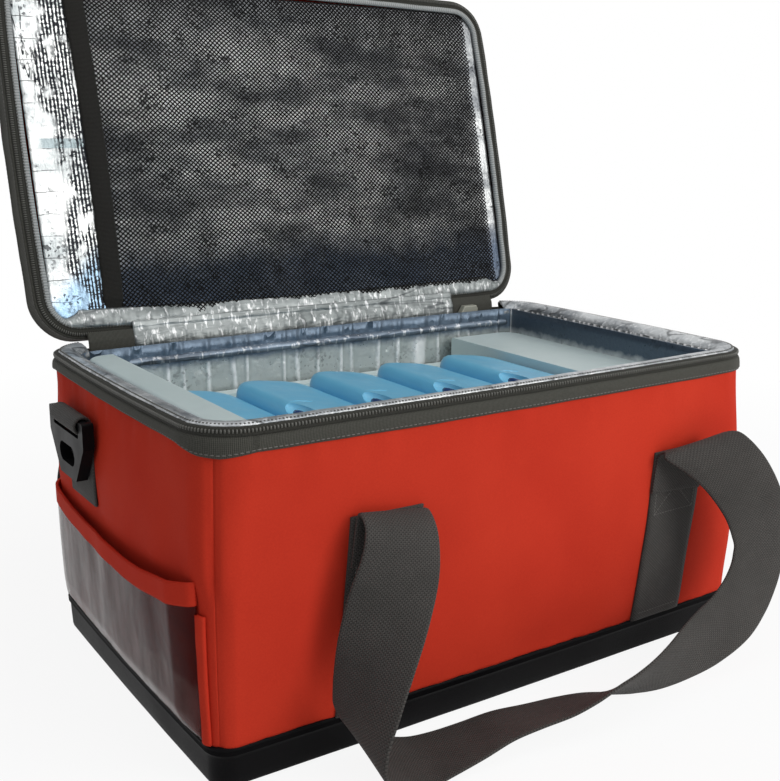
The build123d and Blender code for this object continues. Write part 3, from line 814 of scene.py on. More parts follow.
open_us = U_FULL[(U_FULL <= 3.75) | (U_FULL >= 5.25)]
open_us = np.sort(np.where(open_us > 4.5, open_us - 8, open_us))
zip_profile = [
    (0.2, 219.6), (1.0, 220.8), (1.0, 222.6), (0.8, 224.6), (-0.6, 225.5), (-4.4, 225.8), (-7.4, 225.1),
    (-7.4, 224.5), (-2.4, 224.2), (-0.8, 222.6), (-0.8, 219.8),
]
band(
    "body_zip_cloth", body_at, open_us, zip_profile, "zip_tape", "bag", "zip",
    ("body_zip_tape",), closed=False,
)
beads(
    "body_zip_teeth",
    frames(body_at, stations(body_at, 223.6, 1.2, 2.25, *U_OPEN), 223.5, 1.0, UP),
    (1.35, 1.7, 2.6), "coil", "bag", ("body_zip_coil",),
)
hem_profile = [
    (-1.6, 225.3), (-2.4, 226.4), (-4.8, 227.2), (-9.0, 227.0), (-13.4, 225.2), (-16.9, 222.4),
    (-17.9, 220.0), (-18.4, 218.0), (-18.3, 216.6), (-17.4, 215.8), (-16.6, 216.8), (-16.6, 221.0),
    (-12.0, 223.4), (-7.0, 224.2),
]


def hem_ripple(points, u, grow, height):
    crimp = smooth_noise(points, 4.2, 9.0) * 0.5 + smooth_noise(points, 16, 4.0) * 0.9
    out = outward(body_at, u, height, grow)
    return points + out * (crimp * 0.6)[..., None] + UP * (crimp * 0.45)[..., None]


band(
    "silver_rim_hem", body_at, dense(open_us, 5), hem_profile, "foil_hem", "bag", "foil",
    ("rim_hem",), closed=False, ripple=hem_ripple,
)
beads(
    "hem_stitches", frames(body_at, stations(body_at, 226.0, -3.0, 2.4, *U_OPEN), 226.9, -3.0, UP),
    (1.3, 1.6, 0.6), "coil", "bag",
)

# Foil lining of the body, pleated down its walls

WALL = 17.3
WALL_FOOT, WALL_TOP, REAR_TOP = 19.0, 221.5, 209.5
REAR = (3.74, 5.26)


def pleats(u, z, points):
    """Inward folds of the lining; closer together on the right-hand wall."""
    side = np.mod(u, 8)
    on_right = (side > 1.5) & (side < 3.5)
    long_side = (side < 1.5) | ((side > 3.5) & (side < 5.5)) | (side > 7.5)
    run = np.where(long_side, points[..., 0], points[..., 1])
    pitch = np.where(on_right, 7.5, 21.0)
    drift = smooth_noise(np.stack([run, z * 0.12, z * 0], -1), 26, 6.0) * 0.9
    phase = run / pitch + drift
    saw = np.abs(np.mod(phase, 1) - 0.5) * 2
    ridge = np.exp(-((1 - saw) / np.where(on_right, 0.35, 0.2)) ** 2)
    return ridge * np.where(on_right, 1.7, 1.9), smooth_noise(points, 9, 8.0) * 0.7


def foil_wall(name, us, mat, replaces=()):
    """A length of the lining's wall, between its foot and the silver hem."""
    top = np.where((us > REAR[0]) & (us < REAR[1]), REAR_TOP, WALL_TOP)
    zz = WALL_FOOT + np.linspace(0, 1, 30)[:, None] * (top - WALL_FOOT)[None, :]
    uu = np.broadcast_to(us, zz.shape)
    flat = body_at(uu, 226.4, -WALL)
    flat[..., 2] = zz
    inward = (flat - body_at(uu, 226.4, -WALL + 1.0)) * (1, 1, 0)
    fold, rough = pleats(uu, zz, flat)
    off = (fold + rough) * np.clip((zz - 19) / 30, 0.15, 1)
    verts, faces = slab(flat + inward * off[..., None], flat - inward * 0.25)
    uv = np.stack([fold / 1.8, zz / 100.0], -1).reshape(-1, 2)
    faces = [f[::-1] for f in faces]
    return add_object(name, verts, faces, mat, "bag", replaces, np.concatenate([uv, uv]))


END_WALL = (1.5, 3.5)
OVERLAP = 0.05

all_us = dense(np.append(U_FULL, 8.0), 5)
long_way = all_us[(all_us <= END_WALL[0] + OVERLAP) | (all_us >= END_WALL[1] - OVERLAP)]
long_way = np.where(long_way > END_WALL[1] - OVERLAP, long_way - 8, long_way)
foil_wall("foil_walls", np.sort(long_way), "foil_wall", ("foil_liner",))
foil_wall("foil_end_wall", all_us[(all_us >= END_WALL[0]) & (all_us <= END_WALL[1])], "foil_end")


def foil_floor():
    xx, yy = np.meshgrid(np.linspace(-211, 211, 107), np.linspace(-125, 125, 65))
    top = np.stack([xx, yy, 18.25 + 0 * xx], -1)
    under = top - (0, 0, 0.25)
    top[..., 2] += np.abs(smooth_noise(top, 14, 3.3)) * 0.6
    add_sheet("foil_floor", top, under, "foil", "bag")


foil_floor()

# Rear edge: a silver ledge with its row of stitching, and the cloth hinge above it

STRIP_LEFT, STRIP_RIGHT = -161.0, 153.0


def rear_ledge():
    xs = np.linspace(-206, 206, 330)
    yy, zz = (np.array(v) for v in zip(
        (126.2, 206.0), (125.6, 209.5), (127.5, 211.4), (131.0, 211.9), (135.0, 211.6), (139.4, 211.9),
        (139.6, 210.6), (127.5, 209.6), (127.2, 206.2),
    ))
    x, y = np.meshgrid(xs, yy, indexing="ij")
    z = np.broadcast_to(zz, x.shape)
    pull = np.clip((np.abs(x) - 190) / 22, 0, 1) ** 2
    points = np.stack([x, y - pull * 4, z], -1)
    crimp = smooth_noise(points, 5.0, 2.0) * 0.55 + smooth_noise(points, 17, 6.0) * 0.8
    points[..., 2] += crimp * 0.6
    verts, faces = points.reshape(-1, 3), tube_faces(*x.shape)
    add_object("rear_silver_ledge", verts, faces, "foil_shade", "bag")
    line = np.stack([np.linspace(-188, 188, 40), np.full(40, 134.5), np.full(40, 212.4)], -1)
    beads("rear_stitch_row", line_frames(line, UP, 2.1), (1.2, 1.9, 1.0), "coil", "bag")


rear_ledge()


TAB_LINE = (
    (139.2, 211.0), (139.9, 214.0), (140.3, 218.0), (140.6, 222.0), (141.2, 226.0), (142.6, 229.5),
    (144.0, 232.8),
)
CLOTH_LINE = (*TAB_LINE, (143.9, 235.3), (144.9, 238.6))


def hinge_cloth(name, left, right, line, mat, replaces, crinkle):
    """Cloth from the rear wall up to the lid's lip."""
    xs = np.linspace(left, right, max(12, int((right - left) / 1.6)))
    steps = np.linspace(0, len(line) - 1, 25)
    y, z = (np.interp(steps, np.arange(len(line)), v) for v in zip(*line))
    zz, xx = np.meshgrid(z, xs, indexing="ij")
    yy = np.broadcast_to(y[:, None], xx.shape)
    front = np.stack([xx, yy, zz], -1)
    folds = smooth_noise(front * (1, 1, 0.25), 6.0, 4.4) * 1.0 + smooth_noise(front, 20, 1.2) * 0.8
    middle = np.sin(np.pi * np.clip((zz - 211) / 26, 0, 1))
    front[..., 1] -= (0.4 + crinkle * np.abs(folds) * 1.5) * middle
    behind = np.stack([xx, yy + 0.6, zz], -1)
    bend = ("bag", "lid", (0, 0.1412, 0.2235), (0, 0.1412, 0.2305))
    add_sheet(name, front, behind, mat, bend, replaces, (zz, xx))


hinge_cloth(
    "silver_hinge_cloth", STRIP_LEFT, STRIP_RIGHT, CLOTH_LINE, "shaded_foil_strip", ("hinge_strip",), 1.0,
)
for name, left, right in (
    ("left_hinge_tab", -198.0, STRIP_LEFT - 0.3), ("right_hinge_tab", STRIP_RIGHT + 0.3, 200.0),
):
    hinge_cloth(name, left, right, TAB_LINE, "tape", ("hinge_end_tabs",), 0.15)

# Webbing

WEB = 51.6
WEB_THICK = 2.3
ROUTE = (
    ((-110, -154, 163), (1, 0, -0.15)),
    ((-112, -165, 152), (1, -0.05, -0.15)),
    ((-117, -171, 134), (0.97, -0.22, -0.1)),
    ((-130, -177, 106), (0.82, -0.56, 0)),
    ((-141, -181, 80), (0.6, -0.8, 0.08)),
    ((-149, -184, 57), (0.35, -0.93, 0.1)),
    ((-152, -183.5, 39), (0.1, -0.98, -0.1)),
    ((-148, -183, 23.5), (-0.09, -0.975, -0.2)),
    ((-137, -182.4, 14.5), (-0.16, -0.97, -0.15)),
    ((-124.5, -182.3, 8.2), (-0.2, -0.97, -0.12)),
    ((-108, -182.4, 3.4), (-0.3, -0.95, -0.04)),
    ((-92, -182.4, 3), (-0.38, -0.925, 0.03)),
    ((-68, -183, 5), (-0.4, -0.905, 0.1)),
    ((-43.3, -184.1, 8.2), (-0.43, -0.888, 0.173)),
    ((-20, -188, 10), (-0.455, -0.86, 0.24)),
    ((3, -192.7, 12.1), (-0.46, -0.84, 0.29)),
    ((22, -196.8, 14.7), (-0.48, -0.78, 0.39)),
    ((41, -201.5, 17.1), (-0.517, -0.654, 0.552)),
    ((57.5, -205.6, 19.2), (-0.53, -0.53, 0.66)),
    ((76, -208.5, 22.5), (-0.56, -0.38, 0.735)),
    ((98, -209.4, 27.8), (-0.632, -0.2, 0.745)),
    ((123, -208.4, 35), (-0.71, 0, 0.71)),
    ((147.5, -207, 44.5), (-0.82, 0.1, 0.57)),
    ((165, -204.8, 56), (-0.875, 0.115, 0.475)),
    ((177, -202.5, 69), (-0.92, 0.115, 0.37)),
    ((183.5, -200.6, 82), (-0.955, 0.125, 0.25)),
    ((186, -199, 96), (-0.98, 0.15, 0.12)),
    ((181, -195, 120), (-0.97, 0.22, -0.12)),
    ((170, -187, 143), (-0.92, 0.3, -0.28)),
    ((157, -176, 160), (-0.9, 0.28, -0.36)),
    ((149, -164, 166), (-0.95, 0.15, -0.2)),
    ((146.5, -154, 161), (-1, 0, -0.05)),
)


def spline(points, per_step):
    """Catmull-Rom curve through the points."""
    p = np.asarray(points, float)
    p = np.concatenate([[2 * p[0] - p[1]], p, [2 * p[-1] - p[-2]]])
    out = []
    for i in range(1, len(p) - 2):
        t = np.linspace(0, 1, per_step, endpoint=False)[:, None]
        a, b, c, d = p[i - 1], p[i], p[i + 1], p[i + 2]
        second, third = (2 * a - 5 * b + 4 * c - d) * t**2, (3 * b - a - 3 * c + d) * t**3
        out.append(0.5 * (2 * b + (c - a) * t + second + third))
    return np.concatenate(out + [p[-2:-1]])


def unit(v):
    return v / np.linalg.norm(v, axis=-1, keepdims=True)


def webbing_mesh(centre, width, thick=WEB_THICK):
    """A strip of webbing: centre line and width directions. Returns vertices, faces, UV."""
    travel = unit(np.gradient(centre, axis=0))
    width = unit(width)
    facing = unit(np.cross(travel, width))
    lean = np.clip(np.linalg.norm(np.cross(width, travel), axis=1), 0.8, 1)[:, None]
    section = [(-1, -0.15), (-0.985, 0.32), (-0.93, 0.5), (-0.5, 0.5), (0, 0.5), (0.5, 0.5), (0.93, 0.5)]
    section += [(0.985, 0.32), (1, -0.15), (0.985, -0.38), (0.93, -0.5), (0.5, -0.5), (0, -0.5)]
    section += [(-0.5, -0.5), (-0.93, -0.5), (-0.985, -0.38)]
    half = WEB / 2
    rows = np.stack([centre + width * (a * half) / lean + facing * (b * thick) for a, b in section], 1)
    n, m = rows.shape[:2]
    across = np.broadcast_to([(a + 1) * half for a, _ in section], (n, m))
    along = np.broadcast_to(arc_lengths(centre)[:, None], (n, m))
    return rows.reshape(-1, 3), tube_faces(n, m), np.stack([across, along], -1).reshape(-1, 2)


STRAP_FEET = {"left": -147.0, "right": 112.6}
TURNED = (-1, -1, 1)
STITCH_BOX = ((-20.5, 112), (20.5, 112), (20.5, 152), (-20.5, 152), (-20.5, 112), (20.5, 152))
STITCH_LINES = (STITCH_BOX, ((-20.5, 152), (20.5, 112)), ((-20.5, 33), (20.5, 33)))


def strap_centre(foot, z):
    return foot + WEB / 2 + 9.0 * (z - 28) / 130.0


def front_surface(x, z, lift):
    """A point on the front cloth at x and z, standing off by lift."""
    lo, hi = np.zeros_like(x), np.ones_like(x)
    for _ in range(24):
        mid = (lo + hi) / 2
        left_of = body_at(mid, z, 0.0)[..., 0] < x
        lo, hi = np.where(left_of, mid, lo), np.where(left_of, hi, mid)
    return panel_points(lo, z, lift)


def between(path, count):
    """A path with count steps to each of its legs."""
    points = [
        np.array(a) + (np.array(b) - a) * t for a, b in zip(path, path[1:])
        for t in np.linspace(0, 1, count, endpoint=False)
    ]
    return np.array([*points, path[-1]], float)


def sewn_strap(name, foot, turned, node):
    """Webbing sewn flat on the cloth, with its box of stitching; turned makes the rear one."""
    turn = TURNED if turned else (1, 1, 1)
    zz, aa = np.meshgrid(np.linspace(27.0, 160.0, 60), np.linspace(-1, 1, 15) * WEB / 2, indexing="ij")
    off = np.clip(1 - (np.abs(aa) - WEB / 2 + 1.2) / 1.2, 0, 1) * 0.5 + 1.6
    outer = front_surface(strap_centre(foot, zz) + aa, zz, 0.0)
    outer[..., 1] -= off
    inner = outer.copy()
    inner[..., 1] += off + 0.6
    add_sheet(name, outer * turn, inner * turn, "webbing", "bag", (node,), (aa + WEB / 2, zz))
    groups = []
    for path in STITCH_LINES:
        a, z = between(path, 16).T
        p = front_surface(strap_centre(foot, z) + a, z, 0.0) - (0, 2.15, 0)
        groups.append(line_frames(p * turn, (0, 1 if turned else -1, 0), 2.9))
    places = tuple(np.concatenate(parts) for parts in zip(*groups))
    beads(f"{name}_stitches", places, (2.3, 0.5, 0.45), "thread", "bag")


OTHER_SIDE = {"left": "right", "right": "left"}
for face, turned in (("front", False), ("rear", True)):
    for place, foot in STRAP_FEET.items():
        side = OTHER_SIDE[place] if turned else place
        sewn_strap(f"{face}_{side}_sewn_webbing", foot, turned, f"{face}_{side}_strap")


def handle_line():
    """The handle's route with its two ends laid on the sewn straps, kept above the ground."""
    left_x, right_x = (strap_centre(STRAP_FEET[side], 150.0) for side in ("left", "right"))
    route = [
        ((left_x - 2, -152.3, 128), (1, 0, -0.07)), ((left_x, -152.6, 147), (1, 0, -0.07)),
        ((left_x + 2.5, -153.3, 160), (1, 0, -0.12)), *ROUTE[1:-1],
        ((right_x + 2, -152.8, 158), (-1, 0, 0.03)), ((right_x, -151.6, 147), (-1, 0, 0.07)),
        ((right_x - 2, -151.3, 128), (-1, 0, 0.07)),
    ]
    centre, width = (np.array(v, float) for v in zip(*route))
    c, w = spline(centre, 9), unit(spline(unit(width), 9))
    slant = np.clip(np.linalg.norm(np.cross(w, unit(np.gradient(c, axis=0))), axis=1), 0.8, 1)
    c[:, 2] = np.maximum(c[:, 2], WEB / 2 / slant * np.abs(w[:, 2]) + 1.3)
    return c, w


for face, sign in (("front", -1), ("rear", 1)):
    verts, faces, uv = webbing_mesh(*handle_line())
    bend = ("bag", f"{face}_handle", (0, sign * 0.1535, 0.16), (0, sign * 0.163, 0.16))
    add_object(
        f"{face}_webbing_handle", verts * TURNED if sign > 0 else verts, faces, "webbing", bend,
        (f"{face}_handle",), uv,
    )

# Ring tabs: webbing rolled round each ring's bar

RING_X, RING_Y, RING_Z = 243.6, 49.5, 192.0
ROLL = 5.7


def ring_tab(side, sign):
    path = [(236.9, 134.0), (237.4, 150.0), (237.7, 166.0), (238.2, 180.0)]
    for a in np.radians(np.linspace(-40, 250, 36)):
        path.append((RING_X + math.cos(math.pi + a) * ROLL, RING_Z + math.sin(a) * ROLL))
    centre = spline([(sign * x, RING_Y, z) for x, z in path], 3)
    verts, faces, uv = webbing_mesh(centre, np.broadcast_to((0.0, 1.0, 0.0), centre.shape), 2.0)
    name, node = f"{side}_webbing_tab", f"{side}_ring_tab"
    add_object(name, verts, faces, "webbing", "bag", (node,), uv)


ring_tab("left", -1)
ring_tab("right", 1)

# Clear pocket on the left end

POCKET_FOOT, POCKET_GAP = 28.6, 9.0


def pocket_top(y):
    """Height of the pocket's sagging upper edge."""
    return 118.5 + 15.5 * np.clip((-y - 20) / 114, 0, 1) ** 1.6 + 3.5 * np.clip((y - 60) / 80, 0, 1) ** 2


def left_u(y, z):
    """u on the left side where the body's y has the given value."""
    lo, hi = np.full(np.shape(y), 5.0), np.full(np.shape(y), 8.0)
    for _ in range(26):
        mid = (lo + hi) / 2
        above = body_at(mid, z, 0.0)[..., 1] > y
        lo, hi = np.where(above, mid, lo), np.where(above, hi, mid)
    return lo


def pocket_stand(y, z):
    """How far the pocket's sheet stands off the panel: closed at its foot and ends."""
    ends = np.clip((y + 128.0) / 20.0, 0, 1) * np.clip((138.0 - y) / 20.0, 0, 1)
    foot = np.clip((z - 29.0) / 16.0, 0, 1)
    return 0.9 + (POCKET_GAP - 0.9) * np.sqrt(ends * foot) * np.interp(y, [-128, -20, 138], [1, 0.8, 0.22])


def pocket_piece(name, low, high, rows, thick, lift, mat, replaces):
    """Part of the pocket between two shares of its height."""
    ss, yy = np.meshgrid(np.linspace(low, high, rows), np.linspace(138.0, -128.0, 120), indexing="ij")
    zz = POCKET_FOOT + (pocket_top(yy) - POCKET_FOOT) * ss
    uu = left_u(yy, zz)
    wave = smooth_noise(np.stack([yy * 0, yy, zz * 0.4], -1), 30, 2.7) * 1.4
    stand = pocket_stand(yy, zz) + wave * np.clip(pocket_stand(yy, zz) / POCKET_GAP, 0, 1) + lift
    outer, inner = body_at(uu, zz, stand), body_at(uu, zz, stand - thick)
    add_sheet(name, outer, inner, mat, "bag", replaces, (zz, yy))


def pocket_edge(name, y_low, y_high):
    zz, yy = np.meshgrid(np.linspace(POCKET_FOOT, 112.0, 40), np.linspace(y_high, y_low, 7), indexing="ij")
    uu = left_u(yy, zz)
    bulge = np.sin(np.pi * np.clip((yy - y_low) / (y_high - y_low), 0, 1))
    outer = body_at(uu, zz, 1.2 + 0.9 * bulge + smooth_noise(np.stack([yy, yy, zz], -1), 18, 1.0) * 0.4)
    add_sheet(name, outer, body_at(uu, zz, -0.5), "red", "bag", ("pocket_side_bindings",))


pocket_piece("clear_pocket_sheet", 0.0, 0.97, 40, 0.6, 0.0, "clear", ("pocket_window",))
pocket_piece("pocket_hem", 0.855, 1.0, 9, 2.0, 0.8, "red", ("pocket_top_binding",))
pocket_edge("pocket_front_edge", -134.0, -126.5)
pocket_edge("pocket_rear_edge", 137.0, 143.0)

# Lid

def lid_cover():
    """The outer panel of the lid, crowned a little."""
    rings = [
        (0.0, -22.0), (0.0, -23.6), (-0.8, -24.6), (-2.4, -25.0), (-5, -25.4), (-12, -26.2), (-25, -27.2),
        (-45, -28.2), (-70, -29.0), (-100, -29.4), (-125, -29.6), (-137, -29.6),
    ]
    inner = [(-137, -26.0), (-70, -25.2), (-12, -23.4), (-2.0, -22.6), (-2.0, -22.0)]
    points = []
    for grow, w in rings + inner:
        depth = LID_HALF_D + grow
        corner, bow = min(max(LID_CORNER + grow, 8), depth), min(LID_BOW, 0.2 * depth)
        x, v = rounded(U_FULL, LID_HALF_W + grow, depth, corner, bow)
        points.append(lid_place(x, v + LID_MIDDLE, w))
    points = np.array(points)
    row = np.arange(len(points))[:, None]
    fade = np.clip((row - 3) / 3, 0, 1) * (row < len(rings))
    points -= LID_UP * (smooth_noise(points, 60, 2.0) * 1.2 * fade)[..., None]
    n, m = points.shape[:2]
    split = len(rings)
    faces = [f for f in grid_faces(n, m, wrap_cols=True, flip=True) if f[0] // m != split - 1]
    faces += [tuple(range((split - 1) * m, split * m))[::-1], tuple(range(split * m, (split + 1) * m))]
    faces += [((n - 1) * m + j, j, (j + 1) % m, (n - 1) * m + (j + 1) % m) for j in range(m)]
    verts = points.reshape(-1, 3)
    add_object("lid_cloth", verts, faces, "red", "lid", ("lid_panel", "lid_foam"))


lid_cover()

side_profile = [
    (-2.0, -23.0), (0.2, -23.4), (1.1, -21.6), (0.7, -20.2), (0.3, -18.0), (0.1, -12.5), (0.3, -7.0),
    (0.7, -4.6), (1.2, -3.0), (0.2, -1.6), (-1.6, -1.7), (-2.0, -4.0),
]


def lid_side_ripple(points, u, grow, height):
    amount = smooth_noise(points, 26, 3.0) * 0.7
    return points + outward(lid_at, u, height, grow) * amount[..., None]


band(
    "lid_side_tape", lid_at, U_FULL, side_profile, "tape", "lid", "grey_binding", ("lid_side_band",),
    ripple=lid_side_ripple,
)
for row, depth in enumerate((-20.9, -4.0)):
    beads(
        f"lid_side_stitches_{row + 1}",
        frames(lid_at, stations(lid_at, depth, 1.0, 3.4), depth, 0.95, LID_UP),
        (2.6, 0.55, 0.7), "thread", "lid",
    )
lid_zip_profile = [(-0.4, -1.9), (-0.4, -1.2), (-4.2, -0.9), (-8.4, -1.3), (-8.4, -2.0), (-4.2, -2.0)]
band("lid_zip_cloth", lid_at, U_FULL, lid_zip_profile, "zip_tape", "lid", "zip", ("lid_zip_tape",))
beads(
    "lid_zip_teeth", frames(lid_at, stations(lid_at, -0.5, -2.4, 1.75), -0.55, -2.4, LID_UP),
    (1.05, 2.9, 1.1), "coil", "lid", ("lid_zip_coil",),
)
lid_hem_profile = [
    (-6.4, -1.6), (-7.2, -0.6), (-9.2, 0.1), (-12.5, 0.3), (-16.5, -0.2), (-20.0, -1.2), (-21.4, -2.3),
    (-20.6, -3.3), (-12, -3.3), (-6.6, -2.8),
]
lid_piping_profile = [
    (-6.4, -1.6), (-6.8, -0.5), (-8.2, 0.2), (-9.8, 0.1), (-10.8, -0.9), (-11.0, -3.4), (-6.6, -2.8),
]


def lid_hem_ripple(points, u, grow, height):
    """Pleats of the hem beside the hinge, which narrows to the piping's width at its ends."""
    reach = np.clip((u + 0.45) / 0.4, 0, 1) * np.clip((1.45 - u) / 0.4, 0, 1)
    points = lid_at(u, height, -6.4 + (grow + 6.4) * (0.3 + 0.7 * reach))
    crimp = smooth_noise(points * (1, 0.4, 0.4), 4.0, 6.0) * 1.0 + smooth_noise(points, 19, 2.0) * 1.0
    return points + LID_UP * (crimp * 0.75)[..., None]


def piping_ripple(points, u, grow, height):
    return points + LID_UP * (smooth_noise(points, 22, 5.0) * 0.6)[..., None]


band(
    "silver_lid_hem", lid_at, np.linspace(-0.45, 1.45, 620), lid_hem_profile, "shaded_foil_strip", "lid", "foil",
    ("lid_hem",), closed=False, ripple=lid_hem_ripple,
)
band(
    "lid_edge_piping", lid_at, np.linspace(1.3, 7.7, 640), lid_piping_profile, "piping", "lid", "foil",
    ("lid_hem",), closed=False, ripple=piping_ripple,
)
beads(
    "lid_hem_stitches", frames(lid_at, stations(lid_at, 0.0, -7.4, 2.4), -0.4, -7.0, LID_UP),
    (1.5, 1.3, 0.6), "coil", "lid",
)


def lid_lining():
    """The foil lining of the lid, with dents, and creases that run up its left margin."""
    vv, xx = np.meshgrid(np.linspace(13, 280.5, 135), np.linspace(-222, 222, 223), indexing="ij")
    local = np.stack([xx, vv, xx * 0], -1)
    margin = np.clip((-160 - xx) / 12, 0, 1)
    dents = smooth_noise(local, 22, 4.0) * 0.5 + smooth_noise(local, 7, 1.0) * 0.25
    creases = np.abs(smooth_noise(local * (1, 0.3, 1), 5.0, 8.0))
    w = -3.3 + dents * (1 + margin * 0.8) * 0.7 + creases * margin - 0.6 * (1 - margin)
    past_x, past_v = np.maximum(np.abs(xx) - 200, 0), np.maximum(np.abs(vv - LID_MIDDLE) - 111.7, 0)
    inside = (past_x**2 + past_v**2 < 24.0**2).ravel()
    faces = [f for f in grid_faces(*xx.shape) if all(inside[k] for k in f)]
    verts, uv = lid_place(xx, vv, w).reshape(-1, 3), np.stack([xx, vv], -1).reshape(-1, 2)
    lining = add_object("lid_foil_lining", verts, faces, "lid_foil", "lid", ("lid_lining",), uv)
    thickness = lining.modifiers.new("thickness", "SOLIDIFY")
    thickness.thickness = 0.4 * MM
    thickness.offset = -1


lid_lining()


def lid_net():
    """Knitted net: two crossing sets of yarns with a knot at every crossing."""
    left, right, low, high = -166.0, 211.5, 13.0, 280.0
    pitch_x, pitch_y = 4.1, 3.6
    knot_x, knot_y, thick = 0.76, 0.68, 0.35
    cols, rows = int((right - left) / pitch_x), int((high - low) / pitch_y)
    order = {}
    for j in range(2 * rows + 1):
        for i in range(cols + (j % 2 == 0)):
            order[(i, j)] = len(order)
    knots = np.array([(left + (i + j % 2 / 2) * pitch_x, low + j * pitch_y / 2) for i, j in order])
    n = len(knots)
    local = np.stack([knots[:, 0], knots[:, 1], np.zeros(n)], -1)
    sag = np.clip((knots[:, 0] - left) / 40, 0, 1) * np.clip((high - knots[:, 1]) / 40, 0, 1)
    height = -1.7 + sag * (0.8 + 1.6 * smooth_noise(local, 70, 3.0)) + smooth_noise(local, 20, 7.0) * 0.3
    knots = knots + np.stack([smooth_noise(local, 14, 1.5), smooth_noise(local, 14, 9.5)], -1) * 0.9
    top = np.concatenate([knots + r for r in ((-knot_x, 0), (0, -knot_y), (knot_x, 0), (0, knot_y))])
    w = np.tile(height, 4)
    verts = np.concatenate([lid_place(*top.T, w), lid_place(*top.T, w - thick)])
    faces, down = [], 4 * n
    for (i, j), a in order.items():
        faces.append(tuple(k * n + a for k in range(4)))
        faces.append(tuple(down + k * n + a for k in (3, 2, 1, 0)))
        for step in (0, 1):
            other = order.get((i + step - (j % 2 == 0), j + 1))
            if other is None:
                continue
            first, second, third, last = (2, 1, 0, 3) if step else (3, 2, 1, 0)
            quad = (first * n + a, second * n + other, third * n + other, last * n + a)
            faces += [quad, tuple(down + q for q in quad[::-1])]
            for p, q in (quad[:2], quad[2:]):
                faces.append((q, p, down + p, down + q))
    add_object("lid_knitted_net", verts, faces, "net", "lid", ("lid_net",))


lid_net()


def net_strip():
    """The black tape along the net's free edge."""
    vv, xx = np.meshgrid(np.linspace(12.5, 281.0, 220), np.linspace(-181.0, -165.0, 9), indexing="ij")
    local = np.stack([xx, vv, xx * 0], -1)
    across = (xx + 173.0) / 8.0
    ends = np.clip((31.0 - vv) / 8, 0, 1) + np.clip((vv - 276.0) / 8, 0, 1)
    w = -1.2 - 2.4 * ends + 1.2 * (1 - across**2) + smooth_noise(local, 25, 4.0) * 0.6
    bend = 2.7 * np.sin(np.clip((vv - 12) / 269, 0, 1) * np.pi)
    x = xx + bend + smooth_noise(local, 5, 6.0) * 0.9 * np.abs(across)
    front, back = lid_place(x, vv, w), lid_place(x, vv, w - 1.0)
    add_sheet(
        "net_edge_tape", front, back, "black_tape", "lid", ("net_binding",), (xx + 183, vv),
    )


net_strip()

# Ice packs

PACK_TILT = math.radians(7.5)
PACK_W, PACK_FRONT, PACK_REAR = 62.8, -116.0, 68.0
PACK_PITCH, PACK_FIRST, PACK_TOP = 63.8, -180.5, 202.0
NOTCH_AT, NOTCH_SIZE = (3.0, -41.0, 0.5), (9.0, 19.5, 8.0)


def pack_place(i, e, y, n):
    """A point of pack i: along its width, along the bag's depth, off its top face."""
    x = PACK_FIRST + i * PACK_PITCH + e * math.cos(PACK_TILT) + n * math.sin(PACK_TILT)
    z = PACK_TOP - e * math.sin(PACK_TILT) + n * math.cos(PACK_TILT)
    return np.stack(np.broadcast_arrays(x, y, z), -1)


def add_pack_part(name, i, rings, mat, replaces=()):
    """A closed tube of rings that rides with pack i."""
    faces = tube_faces(len(rings), len(rings[0]))
    return add_object(f"{name}_{i + 1}", np.concatenate(rings), faces, mat, f"pack_{i + 1}", replaces)


def cut_notch(piece, i):
    """Take a ball's shape out of the pack's upper left edge."""
    mesh = bpy.data.meshes.new("cutter")
    ball = bmesh.new()
    bmesh.ops.create_uvsphere(ball, u_segments=32, v_segments=24, radius=1.0)
    ball.to_mesh(mesh)
    ball.free()
    cutter = bpy.data.objects.new("cutter", mesh)
    bpy.context.scene.collection.objects.link(cutter)
    cutter.matrix_world = (
        Matrix.Translation(Vector(pack_place(i, *NOTCH_AT) * MM)) @ Matrix.Rotation(PACK_TILT, 4, "Y")
        @ Matrix.Diagonal((*(v * MM for v in NOTCH_SIZE), 1))
    )
    bpy.context.view_layer.update()
    modifier = piece.modifiers.new("cut", "BOOLEAN")
    modifier.operation = "DIFFERENCE"
    modifier.solver = "EXACT"
    modifier.object = cutter
    graph = bpy.context.evaluated_depsgraph_get()
    whole, piece_cut = piece.data, bpy.data.meshes.new_from_object(piece.evaluated_get(graph))
    piece.modifiers.remove(modifier)
    piece.data = piece_cut
    bpy.data.meshes.remove(whole)
    bpy.data.objects.remove(cutter)
    bpy.data.meshes.remove(mesh)


def pack(i):
    """A moulded pack: rounded edges, and a filler notch in its upper left edge."""
    us = np.concatenate([np.linspace(k, k + 1, 13 if k % 2 else 9)[:-1] for k in range(8)])
    levels = [
        (-5.0, -23.9), (-2.2, -23.2), (-0.6, -21.4), (0.0, -19.0), (0.0, -8.5), (-0.5, -5.4), (-1.9, -2.6),
        (-4.2, -0.9), (-7.5, -0.1), (-12.0, 0.05), (-18.0, 0.05),
    ]
    half_w, half_l = PACK_W / 2, (PACK_REAR - PACK_FRONT) / 2
    rings = []
    for grow, n in levels:
        e, y = rounded(us, half_w + grow, half_l + grow, max(25.0 + grow, 6.0), 0.0)
        rings.append(pack_place(i, e + half_w, y + (PACK_FRONT + PACK_REAR) / 2, n))
    piece = add_pack_part("blue_ice_pack", i, rings, "blue", (f"ice_pack_{i + 1}",))
    cut_notch(piece, i)
    piece.data.polygons.foreach_set("use_smooth", [True] * len(piece.data.polygons))
    piece.data.set_sharp_from_angle(angle=math.radians(38))


def circle(count):
    return np.linspace(0, 2 * np.pi, count + 1)[:-1]


